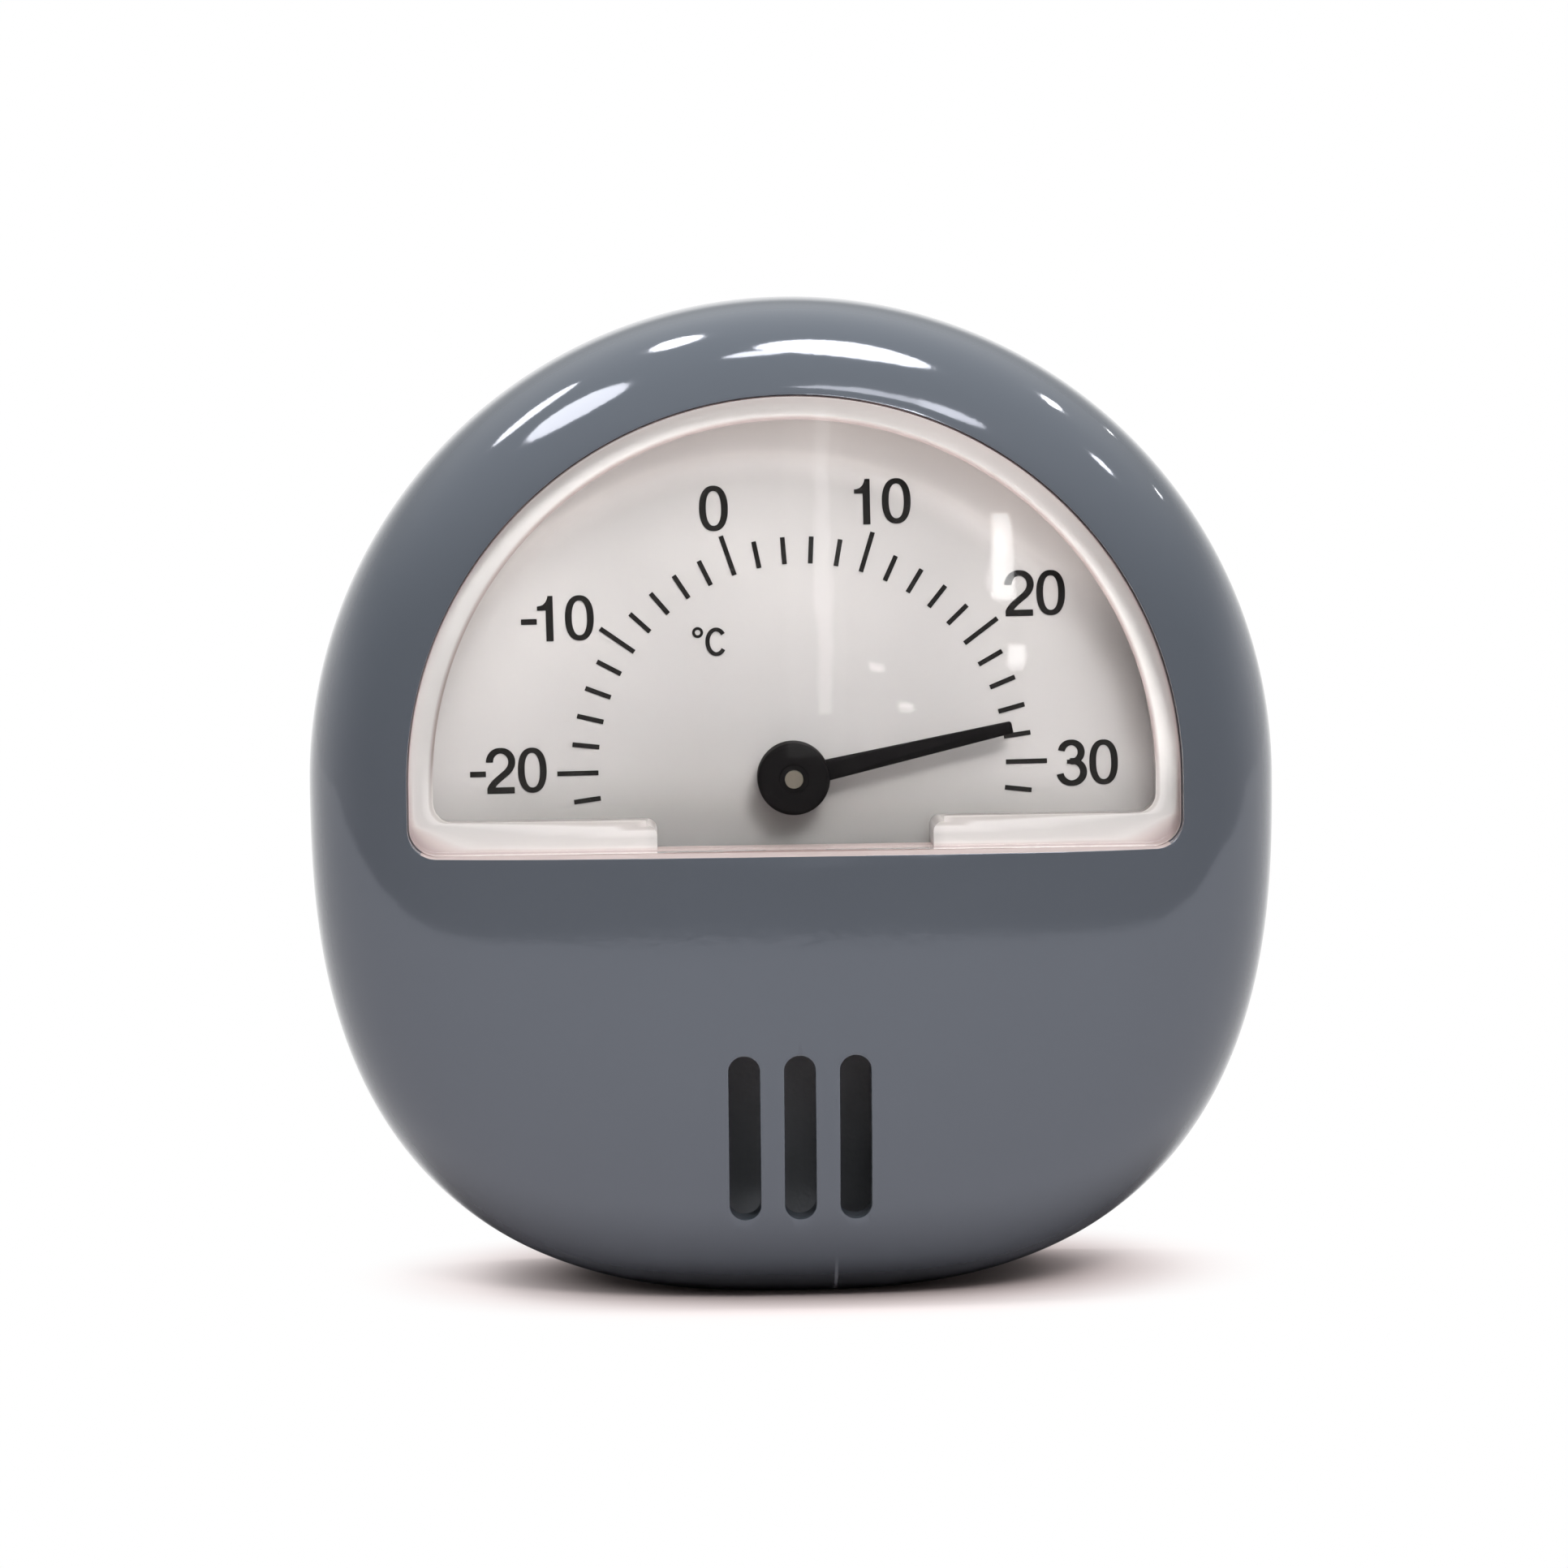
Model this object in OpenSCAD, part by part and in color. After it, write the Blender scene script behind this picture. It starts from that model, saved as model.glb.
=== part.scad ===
// Fridge thermometer: a moulded dome case on a flat foot, with a half-moon window over a
// bimetal dial movement. Millimetres. +Z is up, the dial faces -Y, and the origin is on the
// floor under the middle of the case.

/* [Case] */
// Width of the case
case_w = 65; // [60:0.5:72]
// Depth of the case from the crown of the dome to the back edge
case_d = 24; // [22:0.5:30]
// Drop of the outline below its widest line, before the foot is cut
case_drop = 34.7; // [33:0.1:38]
// Power of the lower outline: 2 is a plain ellipse, more is squarer
case_low_pow = 2.6; // [2.2:0.05:3]
// Depth of the straight rim behind the dome
rim_d = 6; // [5:0.5:8]
// Power of the dome's profile: more is flatter in front and rounder at the edge
dome_pow = 4; // [3:0.1:5]
// Rounding of the case's back edge
back_round = 0.8; // [0.3:0.1:1.2]
// Wall thickness of the case
wall = 2; // [1.6:0.1:2.4]
// Height cut off the rounded underside for the foot
foot_cut = 0.35; // [0.2:0.05:1]

/* [Window] */
// Width of the frame from the window's arc to the widest line
frame_w = 7.1; // [6.8:0.1:9]
// Depth of the window below the pointer's axis
window_drop = 4.5; // [3.8:0.1:6]
// Radius of the window's lower corners
window_corner = 1.9; // [0.8:0.1:3]
// Thickness of the collar that holds the lens
collar_t = 1.2; // [0.8:0.1:1.4]

/* [Air slots] */
// Number of air slots in the front
slot_count = 3; // [1:1:5]
// Width of an air slot
slot_w = 2.1; // [1.5:0.1:2.5]
// Length of an air slot
slot_len = 11.2; // [8:0.1:11.5]
// Spacing of the air slots
slot_pitch = 3.65; // [3:0.05:5]
// Depth of the slots' upper ends below the pointer's axis
slot_top = 17.6; // [17:0.1:19]

/* [Lens] */
// Thickness of the lens face
lens_t = 1.5; // [1:0.1:2]
// Thickness of the lens wall round the arc
lens_wall = 1.2; // [0.8:0.1:1.8]
// Thickness of the lens wall along its bottom edge
lens_bottom_wall = 1.7; // [1.2:0.1:2.2]
// Width of the gap in the bottom wall
lens_gap = 18.2; // [12:0.1:24]
// Height of the room between the card and the lens face
lens_room = 5; // [4:0.1:5.4]
// Thickness of the flange that the dial plate clamps
flange_t = 1.2; // [0.8:0.1:1.6]

/* [Dial] */
// Thickness of the printed card
card_t = 0.3; // [0.2:0.05:0.5]
// Thickness of the dial plate
plate_t = 1; // [0.8:0.1:1.2]
// Distance of the printed card behind the crown of the dome
card_depth = 9.5; // [9:0.1:10]
// Coldest mark in degrees
scale_min = -22; // [-24:2:-20]
// Warmest mark in degrees
scale_max = 32; // [30:2:34]
// Turn of the scale for one degree
scale_step = 3.6; // [3:0.1:3.6]
// Reading that stands upright over the axis
scale_mid = 5; // [0:1:10]
// Radius at which the marks begin
mark_r = 13.6; // [12:0.1:14.5]
// Length of a short mark
mark_short = 1.8; // [1:0.1:2.2]
// Length of a long mark, one every ten degrees
mark_long = 2.75; // [2.2:0.05:3.5]
// Width of a mark
mark_w = 0.32; // [0.2:0.02:0.5]
// Thickness of the printed ink
ink_t = 0.05; // [0.03:0.01:0.1]
// Sideways error of the print on the card
print_dx = 0.65; // [-1:0.05:1]
// Upward error of the print on the card
print_dz = 0.55; // [-1:0.05:1]
// Turn of the print on the card
print_turn = 0.7; // [-2:0.1:2]

/* [Pointer and arbor] */
// Height of the pointer's axis over the case's widest line
axis_up = 0.6; // [0:0.1:1]
// Radius of the pointer's hub
hub_r = 2.4; // [2:0.05:2.8]
// Thickness of the hub
hub_t = 2.5; // [1.6:0.1:2.8]
// Gap between the hub and the front bush
hub_gap = 0.3; // [0.1:0.05:0.5]
// Reach of the pointer's tip from the axis
pointer_len = 14.9; // [12:0.1:15]
// Width of the blade at the hub
blade_root_w = 1.5; // [1:0.1:1.8]
// Width of the blade at the tip
blade_tip_w = 0.8; // [0.4:0.1:1]
// Thickness of the blade
blade_t = 0.5; // [0.3:0.05:0.8]
// Angle of the pointer above the horizontal at rest
pointer_rest = 12.3; // [0:0.1:180]
// Radius of the arbor
arbor_r = 0.6; // [0.5:0.02:0.7]
// Radial clearance of the arbor in its bushes
bush_clear = 0.04; // [0.02:0.01:0.08]
// Radial clearance of pieces pushed on to the arbor
push_clear = 0.01; // [0:0.005:0.02]

/* [Movement] */
// Depth of the bimetal strip along the axis
strip_w = 3; // [2:0.1:3.2]
// Thickness of the bimetal strip
strip_t = 0.2; // [0.15:0.01:0.25]
// Number of turns in the coil
coil_turns = 5; // [3:1:6]
// Radius of the coil's first turn
coil_r = 1.95; // [1.8:0.05:2.2]
// Gap between the coil's turns
coil_gap = 0.65; // [0.5:0.05:0.65]
// Radius of the collet
collet_r = 1.5; // [1.3:0.05:1.6]
// Thickness of the bridge sheet
bridge_t = 1; // [0.8:0.1:1.2]
// Width of the bridge
bridge_w = 12; // [10:0.5:14]
// Thickness of the setting lever
lever_t = 0.8; // [0.6:0.1:1]
// Width of the setting lever's ring
lever_ring = 1.1; // [0.8:0.1:1.4]
// Radius of the coil post
post_r = 0.7; // [0.6:0.05:0.8]

/* [Fasteners and back] */
// Shank radius of the small inner screws
screw_r = 0.7; // [0.5:0.05:0.8]
// Head radius of the small inner screws
head_r = 1.5; // [1.2:0.05:1.6]
// Shank radius of the cover screws
cover_screw_r = 1; // [0.8:0.05:1.1]
// Head radius of the cover screws
cover_head_r = 1.9; // [1.6:0.05:2]
// Thickness of the back cover
cover_t = 2; // [1.6:0.1:2.4]
// Width of the cover left outside its screw heads
cover_rim = 0.7; // [0.5:0.1:1.2]
// Width of the cover's hook
hook_w = 8; // [5:0.5:10]
// Thickness of the cover's hook
hook_t = 1.2; // [0.8:0.1:1.6]
// Bite of the hook behind the case's lug
hook_bite = 0.7; // [0.4:0.1:0.9]
// Recess of the back cover inside the rim
cover_recess = 0.5; // [0.2:0.1:1]
// Length of an air slot in the back cover
back_slot_len = 14; // [8:0.5:20]
// Number of air slots in the back cover
back_slot_count = 5; // [1:1:7]
// Clearance between pieces that seat against each other
seat_clear = 0.08; // [0.05:0.01:0.15]
// Clearance between the back cover and the case wall
cover_clear = 0.15; // [0.1:0.05:0.3]

/* [Hidden] */

$fn = 64;
eps = 0.01;
outline_sides = 72;
dome_rings = 12;

// Places along Y, from the crown to the back
crown_y = -case_d / 2;
back_y = case_d / 2;
wide_y = back_y - rim_d;
dome_d = wide_y - crown_y;
card_y = crown_y + card_depth;
plate_y = card_y + card_t;
plate_back_y = plate_y + plate_t;
lens_back_y = card_y;
lens_front_y = lens_back_y - lens_room - lens_t;
flange_y = lens_back_y - flange_t;
cover_y = back_y - cover_recess - cover_t;
cover_back_y = back_y - cover_recess;

// Window, from the case and its frame
window_r = case_w / 2 - frame_w;

// Heights
mid_z = case_drop - foot_cut;
axis_z = mid_z + axis_up;

// Front bush and pointer
bush_r = 1.5;
bush_flange_r = 2.1;
bush_flange_t = 0.6;
bush_proud = 0.2;
bush_front_y = card_y - bush_proud;
bush_back_y = plate_back_y + bush_flange_t;
hub_back_y = bush_front_y - hub_gap;
hub_front_y = hub_back_y - hub_t;
pin_proud = 0.1;
blade_y = hub_front_y + 0.9;

// Movement places
run_gap = 0.3;
collet_y = bush_back_y + run_gap;
collet_len = strip_w + 0.6;
strip_y = collet_y + 0.3;
lip_y = collet_y + collet_len + run_gap;
lip_t = 0.4;
lip_r = 2.2;
lever_seat_r = 1.7;
lever_y = lip_y + lip_t + seat_clear;
bridge_y = lever_y + lever_t + seat_clear;
bridge_back_y = bridge_y + bridge_t;
rivet_r = 1.9;
rivet_t = 0.4;
bush_end_y = bridge_back_y + rivet_t;
washer_y = bush_end_y + 0.05;
washer_t = 0.3;
washer_r = 1.4;
clip_y = washer_y + washer_t + 0.05;
clip_t = 0.4;
clip_r = 1.4;
clip_neck_r = arbor_r - 0.2;
arbor_tail = 0.6;
coil_step = strip_t + coil_gap;
coil_out_r = coil_r + coil_turns * coil_step;
tail_len = 3.2;
post_x = -post_r * 3.1;
post_rim = 0.4;
post_len = norm([post_x, coil_out_r]);
post_turn = atan2(-post_x, coil_out_r);
tang_r = collet_r * 0.65;
strip_clear = 0.03;
web_z = -(coil_out_r + 0.8);
rear_neck_r = 1.3;
foot_len = 3.6;
bridge_screw_x = bridge_w / 2 - head_r - 0.6;
bridge_screw_z = web_z - bridge_t - foot_len / 2;

// Fastening places
boss_r = 2.1;
ear_boss_r = 1.5;
ear_rim = 0.2;
head_t = 1;
pilot_depth = 4;
ear_angle = 20;
ear_at = window_r + collar_t + ear_boss_r - 0.3;
low_ear_x = window_r - 4.9;
low_ear_z = -window_drop - 5;
low_ear_boss_r = 2.2;
apron_w = 16;
cover_boss_angles = [225, 315];
cover_head_t = 1.2;
cover_screw_len = 7;
rib_t = 1;
lug_d = 1.2;
lug_t = 1.4;
lug_y = cover_y - 2;
hook_top = case_w / 2 - wall - lug_d - cover_clear;
hook_foot_t = 1;

function low_r(t, grow) =
    pow(pow(abs(cos(t)) / (case_w / 2 + grow), case_low_pow)
      + pow(abs(sin(t)) / (case_drop + grow), case_low_pow), -1 / case_low_pow);

// Outline of the case at angle t round its widest line, grown or shrunk all round
function outline_r(t, grow = 0) = sin(t) >= 0 ? case_w / 2 + grow : low_r(t, grow);

// Rings of a dome: share of the outline, inset in mm and place along Y
function dome_rings_of(depth, end) = concat(
    [for (i = [1:dome_rings])
        let (a = 90 * i / dome_rings)
        [pow(sin(a), 2 / dome_pow), 0, wide_y - depth * pow(cos(a), 2 / dome_pow)]],
    end);

// Closed dome solid whose rings follow the outline, with its pole in front
module dome(grow, depth, end) {
    rings = dome_rings_of(depth, end);
    n = outline_sides;
    count = len(rings);
    points = concat(
        [[0, wide_y - depth, 0]],
        [for (r = rings)
            for (k = [0:n - 1])
                let (t = 360 * k / n, q = outline_r(t, grow) * r[0] - r[1])
                [q * cos(t), r[2], q * sin(t)]],
        [[0, rings[count - 1][2], 0]]);
    last = 1 + n * count;
    faces = concat(
        [for (k = [0:n - 1]) [0, 1 + (k + 1) % n, 1 + k]],
        [for (j = [0:count - 2])
            for (k = [0:n - 1])
                for (f = [[1 + j * n + k, 1 + j * n + (k + 1) % n, 1 + (j + 1) * n + k],
                          [1 + j * n + (k + 1) % n, 1 + (j + 1) * n + (k + 1) % n,
                           1 + (j + 1) * n + k]])
                    f],
        [for (k = [0:n - 1])
            [last, 1 + (count - 1) * n + k, 1 + (count - 1) * n + (k + 1) % n]]);
    translate([0, 0, mid_z]) polyhedron(points, faces);
}

// Flat shape drawn in XZ about the pointer's axis, from y0 back to y1
module sheet(y0, y1) {
    translate([0, y1, axis_z]) rotate([90, 0, 0]) linear_extrude(y1 - y0) children();
}

// Round bar along Y at x, z from the pointer's axis
module bar(y0, y1, r, x = 0, z = 0) {
    translate([x, y1, axis_z + z]) rotate([90, 0, 0]) cylinder(h = y1 - y0, r = r);
}

// Window outline about the axis, grown all round
module window_outline(grow = 0) {
    r = window_r + grow;
    drop = window_drop + grow;
    corner = window_corner + grow;
    intersection() {
        circle(r, $fn = 128);
        translate([-r, -eps]) square([2 * r, r + 1]);
    }
    translate([-r, corner - drop]) square([2 * r, drop - corner]);
    translate([corner - r, -drop]) square([2 * (r - corner), drop]);
    for (side = [-1, 1])
        translate([side * (r - corner), corner - drop]) circle(corner);
}

// Inside of the lens walls: the bottom wall is thicker than the arc's
module lens_inside() {
    r = window_r - seat_clear - lens_wall;
    drop = window_drop - seat_clear - lens_bottom_wall;
    corner = min(window_corner, drop) * 0.7;
    intersection() {
        circle(r, $fn = 128);
        translate([-r, -eps]) square([2 * r, r + 1]);
    }
    translate([-r, corner - drop]) square([2 * r, drop - corner]);
    translate([corner - r, -drop]) square([2 * (r - corner), drop]);
    for (side = [-1, 1])
        translate([side * (r - corner), corner - drop]) circle(corner);
}

// One upright slot with round ends, from z down
module slot(x, z, length) {
    translate([x - slot_w / 2, z - length + slot_w / 2]) square([slot_w, length - slot_w]);
    translate([x, z - slot_w / 2]) circle(slot_w / 2);
    translate([x, z - length + slot_w / 2]) circle(slot_w / 2);
}

// Row of upright slots, centred on the case
module slot_row(count, z, length) {
    for (i = [0:count - 1])
        slot((i - (count - 1) / 2) * slot_pitch, z, length);
}

// Places of the four ears of the dial plate, from the axis
function ear_places() = [
    for (side = [-1, 1])
        for (p = [[ear_at * cos(ear_angle), ear_at * sin(ear_angle), ear_boss_r],
                  [low_ear_x, low_ear_z, low_ear_boss_r]])
            [side * p[0], p[1], p[2]]];

// Places of the cover's screws, from the axis
function cover_places() = [
    for (t = cover_boss_angles)
        let (q = outline_r(t) - wall - cover_head_r - cover_rim)
        [q * cos(t), q * sin(t) - axis_up]];

module front_shell() {
    color("slategray")
    difference() {
        // The back edge is rounded in two steps that run on past the back plane
        dome(0, dome_d, [for (e = [[0, -1], [0.293, -0.293], [1.707, 0.293]])
            [1, back_round * e[0], back_y + back_round * e[1]]]);
        difference() {
            union() {
                dome(-wall, dome_d - wall, []);
                outline_plate(wide_y, back_y + 1, wall);
            }
            sheet(crown_y - 1, flange_y) window_outline(collar_t);
            for (p = ear_places())
                bar(crown_y - 1, plate_y, p[2], p[0], p[1]);
            for (p = cover_places())
                bar(crown_y - 1, cover_y, boss_r, p[0], p[1]);
            cover_ribs();
            case_lug();
        }
        sheet(flange_y, plate_y + 1) window_outline(collar_t);
        sheet(crown_y - 1, flange_y + 1) window_outline();
        sheet(crown_y - 1, card_y) slot_row(slot_count, -slot_top, slot_len);
        for (p = ear_places())
            bar(plate_y - pilot_depth, plate_y + 1, screw_r + seat_clear, p[0], p[1]);
        for (p = cover_places())
            bar(cover_y - cover_screw_len, cover_y + 1, cover_screw_r + seat_clear, p[0], p[1]);
        translate([-case_w, -case_d, -10]) cube([2 * case_w, 2 * case_d, 10]);
        translate([-case_w, back_y, -1]) cube([2 * case_w, case_d, 2 * case_w]);
    }
}

// Ribs that tie the cover's bosses to the wall
module cover_ribs() {
    sheet(crown_y - 1, cover_y)
        translate([0, -axis_up])
            for (t = cover_boss_angles)
                rotate(t) translate([outline_r(t) - wall - cover_head_r - cover_rim, -rib_t / 2])
                    square([cover_head_r + cover_rim + wall / 2, rib_t]);
}

// Lug inside the top of the case that the cover's hook catches
module case_lug() {
    sheet(lug_y, lug_y + lug_t)
        translate([-hook_w / 2 - 1, hook_top + cover_clear - axis_up])
            square([hook_w + 2, lug_d + wall / 2]);
}

module window_lens() {
    color("gainsboro", 0.4)
    difference() {
        union() {
            sheet(lens_front_y, lens_back_y) window_outline(-seat_clear);
            sheet(flange_y + seat_clear, lens_back_y) window_outline(collar_t - seat_clear);
        }
        sheet(lens_front_y + lens_t, lens_back_y + 1) lens_inside();
        sheet(lens_front_y + lens_t, lens_back_y + 1)
            translate([-lens_gap / 2, -window_drop - collar_t - 1]) square([lens_gap, window_drop]);
    }
}

// Outline that the card and the plate share
module dial_outline(ears) {
    window_outline(collar_t - seat_clear);
    translate([-apron_w / 2, bridge_screw_z - foot_len / 2]) square([apron_w, -bridge_screw_z]);
    if (ears)
        for (p = ear_places()) {
            translate([p[0], p[1]]) circle(p[2] + ear_rim);
            if (p[1] < 0)
                translate([p[0] - p[2] - ear_rim, p[1]])
                    square([2 * (p[2] + ear_rim), -p[1] - window_drop]);
        }
}

module dial_card() {
    color("whitesmoke")
    sheet(card_y, plate_y)
        difference() {
            window_outline(collar_t - seat_clear);
            circle(bush_r + seat_clear);
        }
}

module scale_marks() {
    color("black")
    sheet(card_y - ink_t, card_y)
        translate([print_dx, print_dz])
            for (value = [scale_min:2:scale_max])
                rotate(90 - scale_step * (value - scale_mid) + print_turn)
                    translate([mark_r, -mark_w / 2])
                        square([value % 10 == 0 ? mark_long : mark_short, mark_w]);
}

module dial_plate() {
    color("silver")
    sheet(plate_y, plate_back_y)
        difference() {
            dial_outline(true);
            circle(bush_r + push_clear);
            for (p = ear_places())
                translate([p[0], p[1]]) circle(screw_r + seat_clear);
            for (side = [-1, 1])
                translate([side * bridge_screw_x, bridge_screw_z]) circle(screw_r + seat_clear);
        }
}

// Round-headed screw along Y: head behind y0, shank forward to y1
module screw(y1, y0, r, hr, ht, x, z) {
    difference() {
        union() {
            bar(y1, y0 + eps, r, x, z);
            bar(y0, y0 + ht, hr, x, z);
        }
        sheet(y0 + ht / 2, y0 + ht + 1)
            translate([x, z])
                for (turn = [0, 90])
                    rotate(turn) square([hr * 1.2, hr * 0.28], center = true);
    }
}

module dial_screws() {
    color("silver")
    for (p = ear_places())
        screw(plate_y - pilot_depth + 0.3, plate_back_y, screw_r, head_r, head_t, p[0], p[1]);
}

module front_bush() {
    color("goldenrod")
    difference() {
        union() {
            bar(bush_front_y, bush_back_y, bush_r);
            bar(plate_back_y, bush_back_y, bush_flange_r);
        }
        bar(bush_front_y - 1, bush_back_y + 1, arbor_r + bush_clear);
    }
}

module movement_bridge() {
    color("lightsteelblue")
    difference() {
        union() {
            sheet(bridge_y, bridge_back_y) {
                translate([-bridge_w / 2, web_z - bridge_t])
                    square([bridge_w, bridge_t - web_z]);
                circle(bridge_w / 2);
            }
            sheet(plate_back_y, bridge_back_y)
                translate([-bridge_w / 2, web_z - bridge_t]) square([bridge_w, bridge_t]);
            sheet(plate_back_y, plate_back_y + bridge_t)
                translate([-bridge_w / 2, web_z - bridge_t - foot_len])
                    square([bridge_w, foot_len + bridge_t]);
        }
        bar(bridge_y - 1, bridge_back_y + 1, rear_neck_r + push_clear);
        for (side = [-1, 1])
            bar(plate_back_y - 1, plate_back_y + bridge_t + 1, screw_r + seat_clear,
                side * bridge_screw_x, bridge_screw_z);
    }
}

module bridge_screws() {
    color("silver")
    for (side = [-1, 1])
        screw(plate_y + 0.1, plate_back_y + bridge_t, screw_r, head_r, head_t,
              side * bridge_screw_x, bridge_screw_z);
}

module rear_bush() {
    color("goldenrod")
    difference() {
        union() {
            bar(lip_y, lip_y + lip_t, lip_r);
            bar(lip_y, bridge_y, lever_seat_r);
            bar(lip_y, bush_end_y, rear_neck_r);
            bar(bridge_back_y, bush_end_y, rivet_r);
        }
        bar(lip_y - 1, bush_end_y + 1, arbor_r + bush_clear);
    }
}

module setting_lever() {
    color("lightgray")
    sheet(lever_y, lever_y + lever_t)
        difference() {
            union() {
                circle(lever_seat_r + lever_ring);
                rotate(post_turn) translate([-post_r - post_rim, 0])
                    square([2 * (post_r + post_rim), post_len]);
                translate([post_x, coil_out_r]) circle(post_r + post_rim);
            }
            circle(lever_seat_r + push_clear);
            translate([post_x, coil_out_r]) circle(post_r * 0.75 + push_clear);
        }
}

// The post stands on the lever, with a slot for the coil's outer end
module coil_post() {
    color("goldenrod")
    difference() {
        union() {
            bar(strip_y - 0.3, lever_y, post_r, post_x, coil_out_r);
            bar(strip_y, lever_y + lever_t, post_r * 0.75, post_x, coil_out_r);
        }
        sheet(strip_y - 1, strip_y + strip_w + 0.05)
            translate([post_x - 2 * post_r, coil_out_r - strip_t / 2 - strip_clear])
                square([4 * post_r, strip_t + 2 * strip_clear]);
    }
}

// Radius of the strip's middle line at angle t, from the inner end
function coil_at(t) = coil_r + coil_step * t / 360;

module bimetal_coil() {
    steps = coil_turns * 24;
    start = 90;
    turn = coil_turns * 360;
    side = function (d) [for (i = [0:steps])
        let (t = turn * i / steps, q = coil_at(t) + d)
        [q * cos(start + t), q * sin(start + t)]];
    outer = side(strip_t / 2);
    inner = side(-strip_t / 2);
    color("darkgoldenrod")
    sheet(strip_y, strip_y + strip_w) {
        polygon(concat(outer, [for (i = [steps:-1:0]) inner[i]]));
        // Inner end, bent into the collet's slot
        translate([-strip_t / 2, tang_r]) square([strip_t, coil_r - tang_r]);
        // Outer end, straight on through the post's slot
        translate([-tail_len, coil_out_r - strip_t / 2]) square([tail_len + eps, strip_t]);
    }
}

module coil_collet() {
    color("goldenrod")
    difference() {
        bar(collet_y, collet_y + collet_len, collet_r);
        bar(collet_y - 1, collet_y + collet_len + 1, arbor_r + push_clear);
        sheet(strip_y - 0.05, collet_y + collet_len + 1)
            translate([-strip_t / 2 - strip_clear, tang_r - 0.05])
                square([strip_t + 2 * strip_clear, collet_r]);
    }
}

module arbor() {
    color("antiquewhite")
    difference() {
        bar(hub_front_y - pin_proud, clip_y + clip_t + arbor_tail, arbor_r);
        difference() {
            bar(clip_y - 0.03, clip_y + clip_t + 0.03, arbor_r + 1);
            bar(clip_y - 1, clip_y + clip_t + 1, clip_neck_r);
        }
    }
}

module pointer() {
    color("black")
    difference() {
        union() {
            bar(hub_front_y + 0.2, hub_back_y, hub_r);
            translate([0, hub_front_y + 0.2, axis_z]) rotate([90, 0, 0])
                cylinder(h = 0.2, r1 = hub_r, r2 = hub_r - 0.2);
            sheet(blade_y, blade_y + blade_t)
                rotate(pointer_rest)
                    polygon([[0, -blade_root_w / 2], [pointer_len, -blade_tip_w / 2],
                             [pointer_len, blade_tip_w / 2], [0, blade_root_w / 2]]);
        }
        bar(hub_front_y - 1, hub_back_y + 1, arbor_r + push_clear);
    }
}

module arbor_washer() {
    color("silver")
    difference() {
        bar(washer_y, washer_y + washer_t, washer_r);
        bar(washer_y - 1, washer_y + washer_t + 1, arbor_r + bush_clear);
    }
}

module arbor_clip() {
    color("dimgray")
    difference() {
        bar(clip_y, clip_y + clip_t, clip_r);
        bar(clip_y - 1, clip_y + clip_t + 1, clip_neck_r + push_clear);
        sheet(clip_y - 1, clip_y + clip_t + 1)
            translate([-clip_neck_r, -clip_r - 1]) square([2 * clip_neck_r, clip_r + 1]);
    }
}

// Hook inside the cover's top: a leg, and a foot that reaches in front of the lug
module cover_hook() {
    foot_y = lug_y - cover_clear - hook_foot_t;
    sheet(foot_y, cover_y + eps)
        translate([-hook_w / 2, hook_top - hook_t - axis_up]) square([hook_w, hook_t]);
    sheet(foot_y, foot_y + hook_foot_t)
        translate([-hook_w / 2, hook_top - eps - axis_up])
            square([hook_w, cover_clear + hook_bite + eps]);
}

module back_cover() {
    color("slategray")
    difference() {
        union() {
            outline_plate(cover_y, cover_back_y, wall + cover_clear);
            cover_hook();
        }
        sheet(cover_y - 1, cover_back_y + 1)
            slot_row(back_slot_count, back_slot_len / 2, back_slot_len);
        for (p = cover_places()) {
            bar(cover_y - 1, cover_back_y + 1, cover_screw_r + seat_clear, p[0], p[1]);
            bar(cover_back_y - cover_head_t - 0.1, cover_back_y + 1, cover_head_r + seat_clear, p[0], p[1]);
        }
    }
}

// Straight plate that follows the case's outline, shrunk all round
module outline_plate(y0, y1, inset) {
    translate([0, y1, mid_z]) rotate([90, 0, 0]) linear_extrude(y1 - y0)
        polygon([for (k = [0:outline_sides - 1])
            let (t = 360 * k / outline_sides, q = outline_r(t, -inset))
            [q * cos(t), q * sin(t)]]);
}

module cover_screws() {
    color("silver")
    for (p = cover_places())
        screw(cover_y - cover_screw_len + 0.5, cover_back_y - cover_head_t - 0.1, cover_screw_r,
              cover_head_r, cover_head_t, p[0], p[1]);
}

front_shell();
window_lens();
dial_card();
scale_marks();
dial_plate();
dial_screws();
front_bush();
movement_bridge();
bridge_screws();
rear_bush();
setting_lever();
coil_post();
bimetal_coil();
coil_collet();
arbor();
pointer();
arbor_washer();
arbor_clip();
back_cover();
cover_screws();
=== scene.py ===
import math
import bmesh
import bpy
from mathutils import Matrix, Vector


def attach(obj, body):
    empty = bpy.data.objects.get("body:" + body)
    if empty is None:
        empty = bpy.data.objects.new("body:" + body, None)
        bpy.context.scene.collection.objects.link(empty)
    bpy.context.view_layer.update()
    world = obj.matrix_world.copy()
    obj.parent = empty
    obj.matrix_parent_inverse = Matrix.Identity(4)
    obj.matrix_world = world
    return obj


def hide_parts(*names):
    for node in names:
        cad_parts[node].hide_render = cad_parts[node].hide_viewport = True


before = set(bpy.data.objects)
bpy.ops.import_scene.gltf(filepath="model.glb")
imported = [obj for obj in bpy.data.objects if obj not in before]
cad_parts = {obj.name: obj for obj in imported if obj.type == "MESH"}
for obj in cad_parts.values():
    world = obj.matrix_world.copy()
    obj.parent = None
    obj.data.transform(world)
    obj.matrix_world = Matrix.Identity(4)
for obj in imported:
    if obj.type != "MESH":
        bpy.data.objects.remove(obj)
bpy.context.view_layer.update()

MM = 0.001

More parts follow.
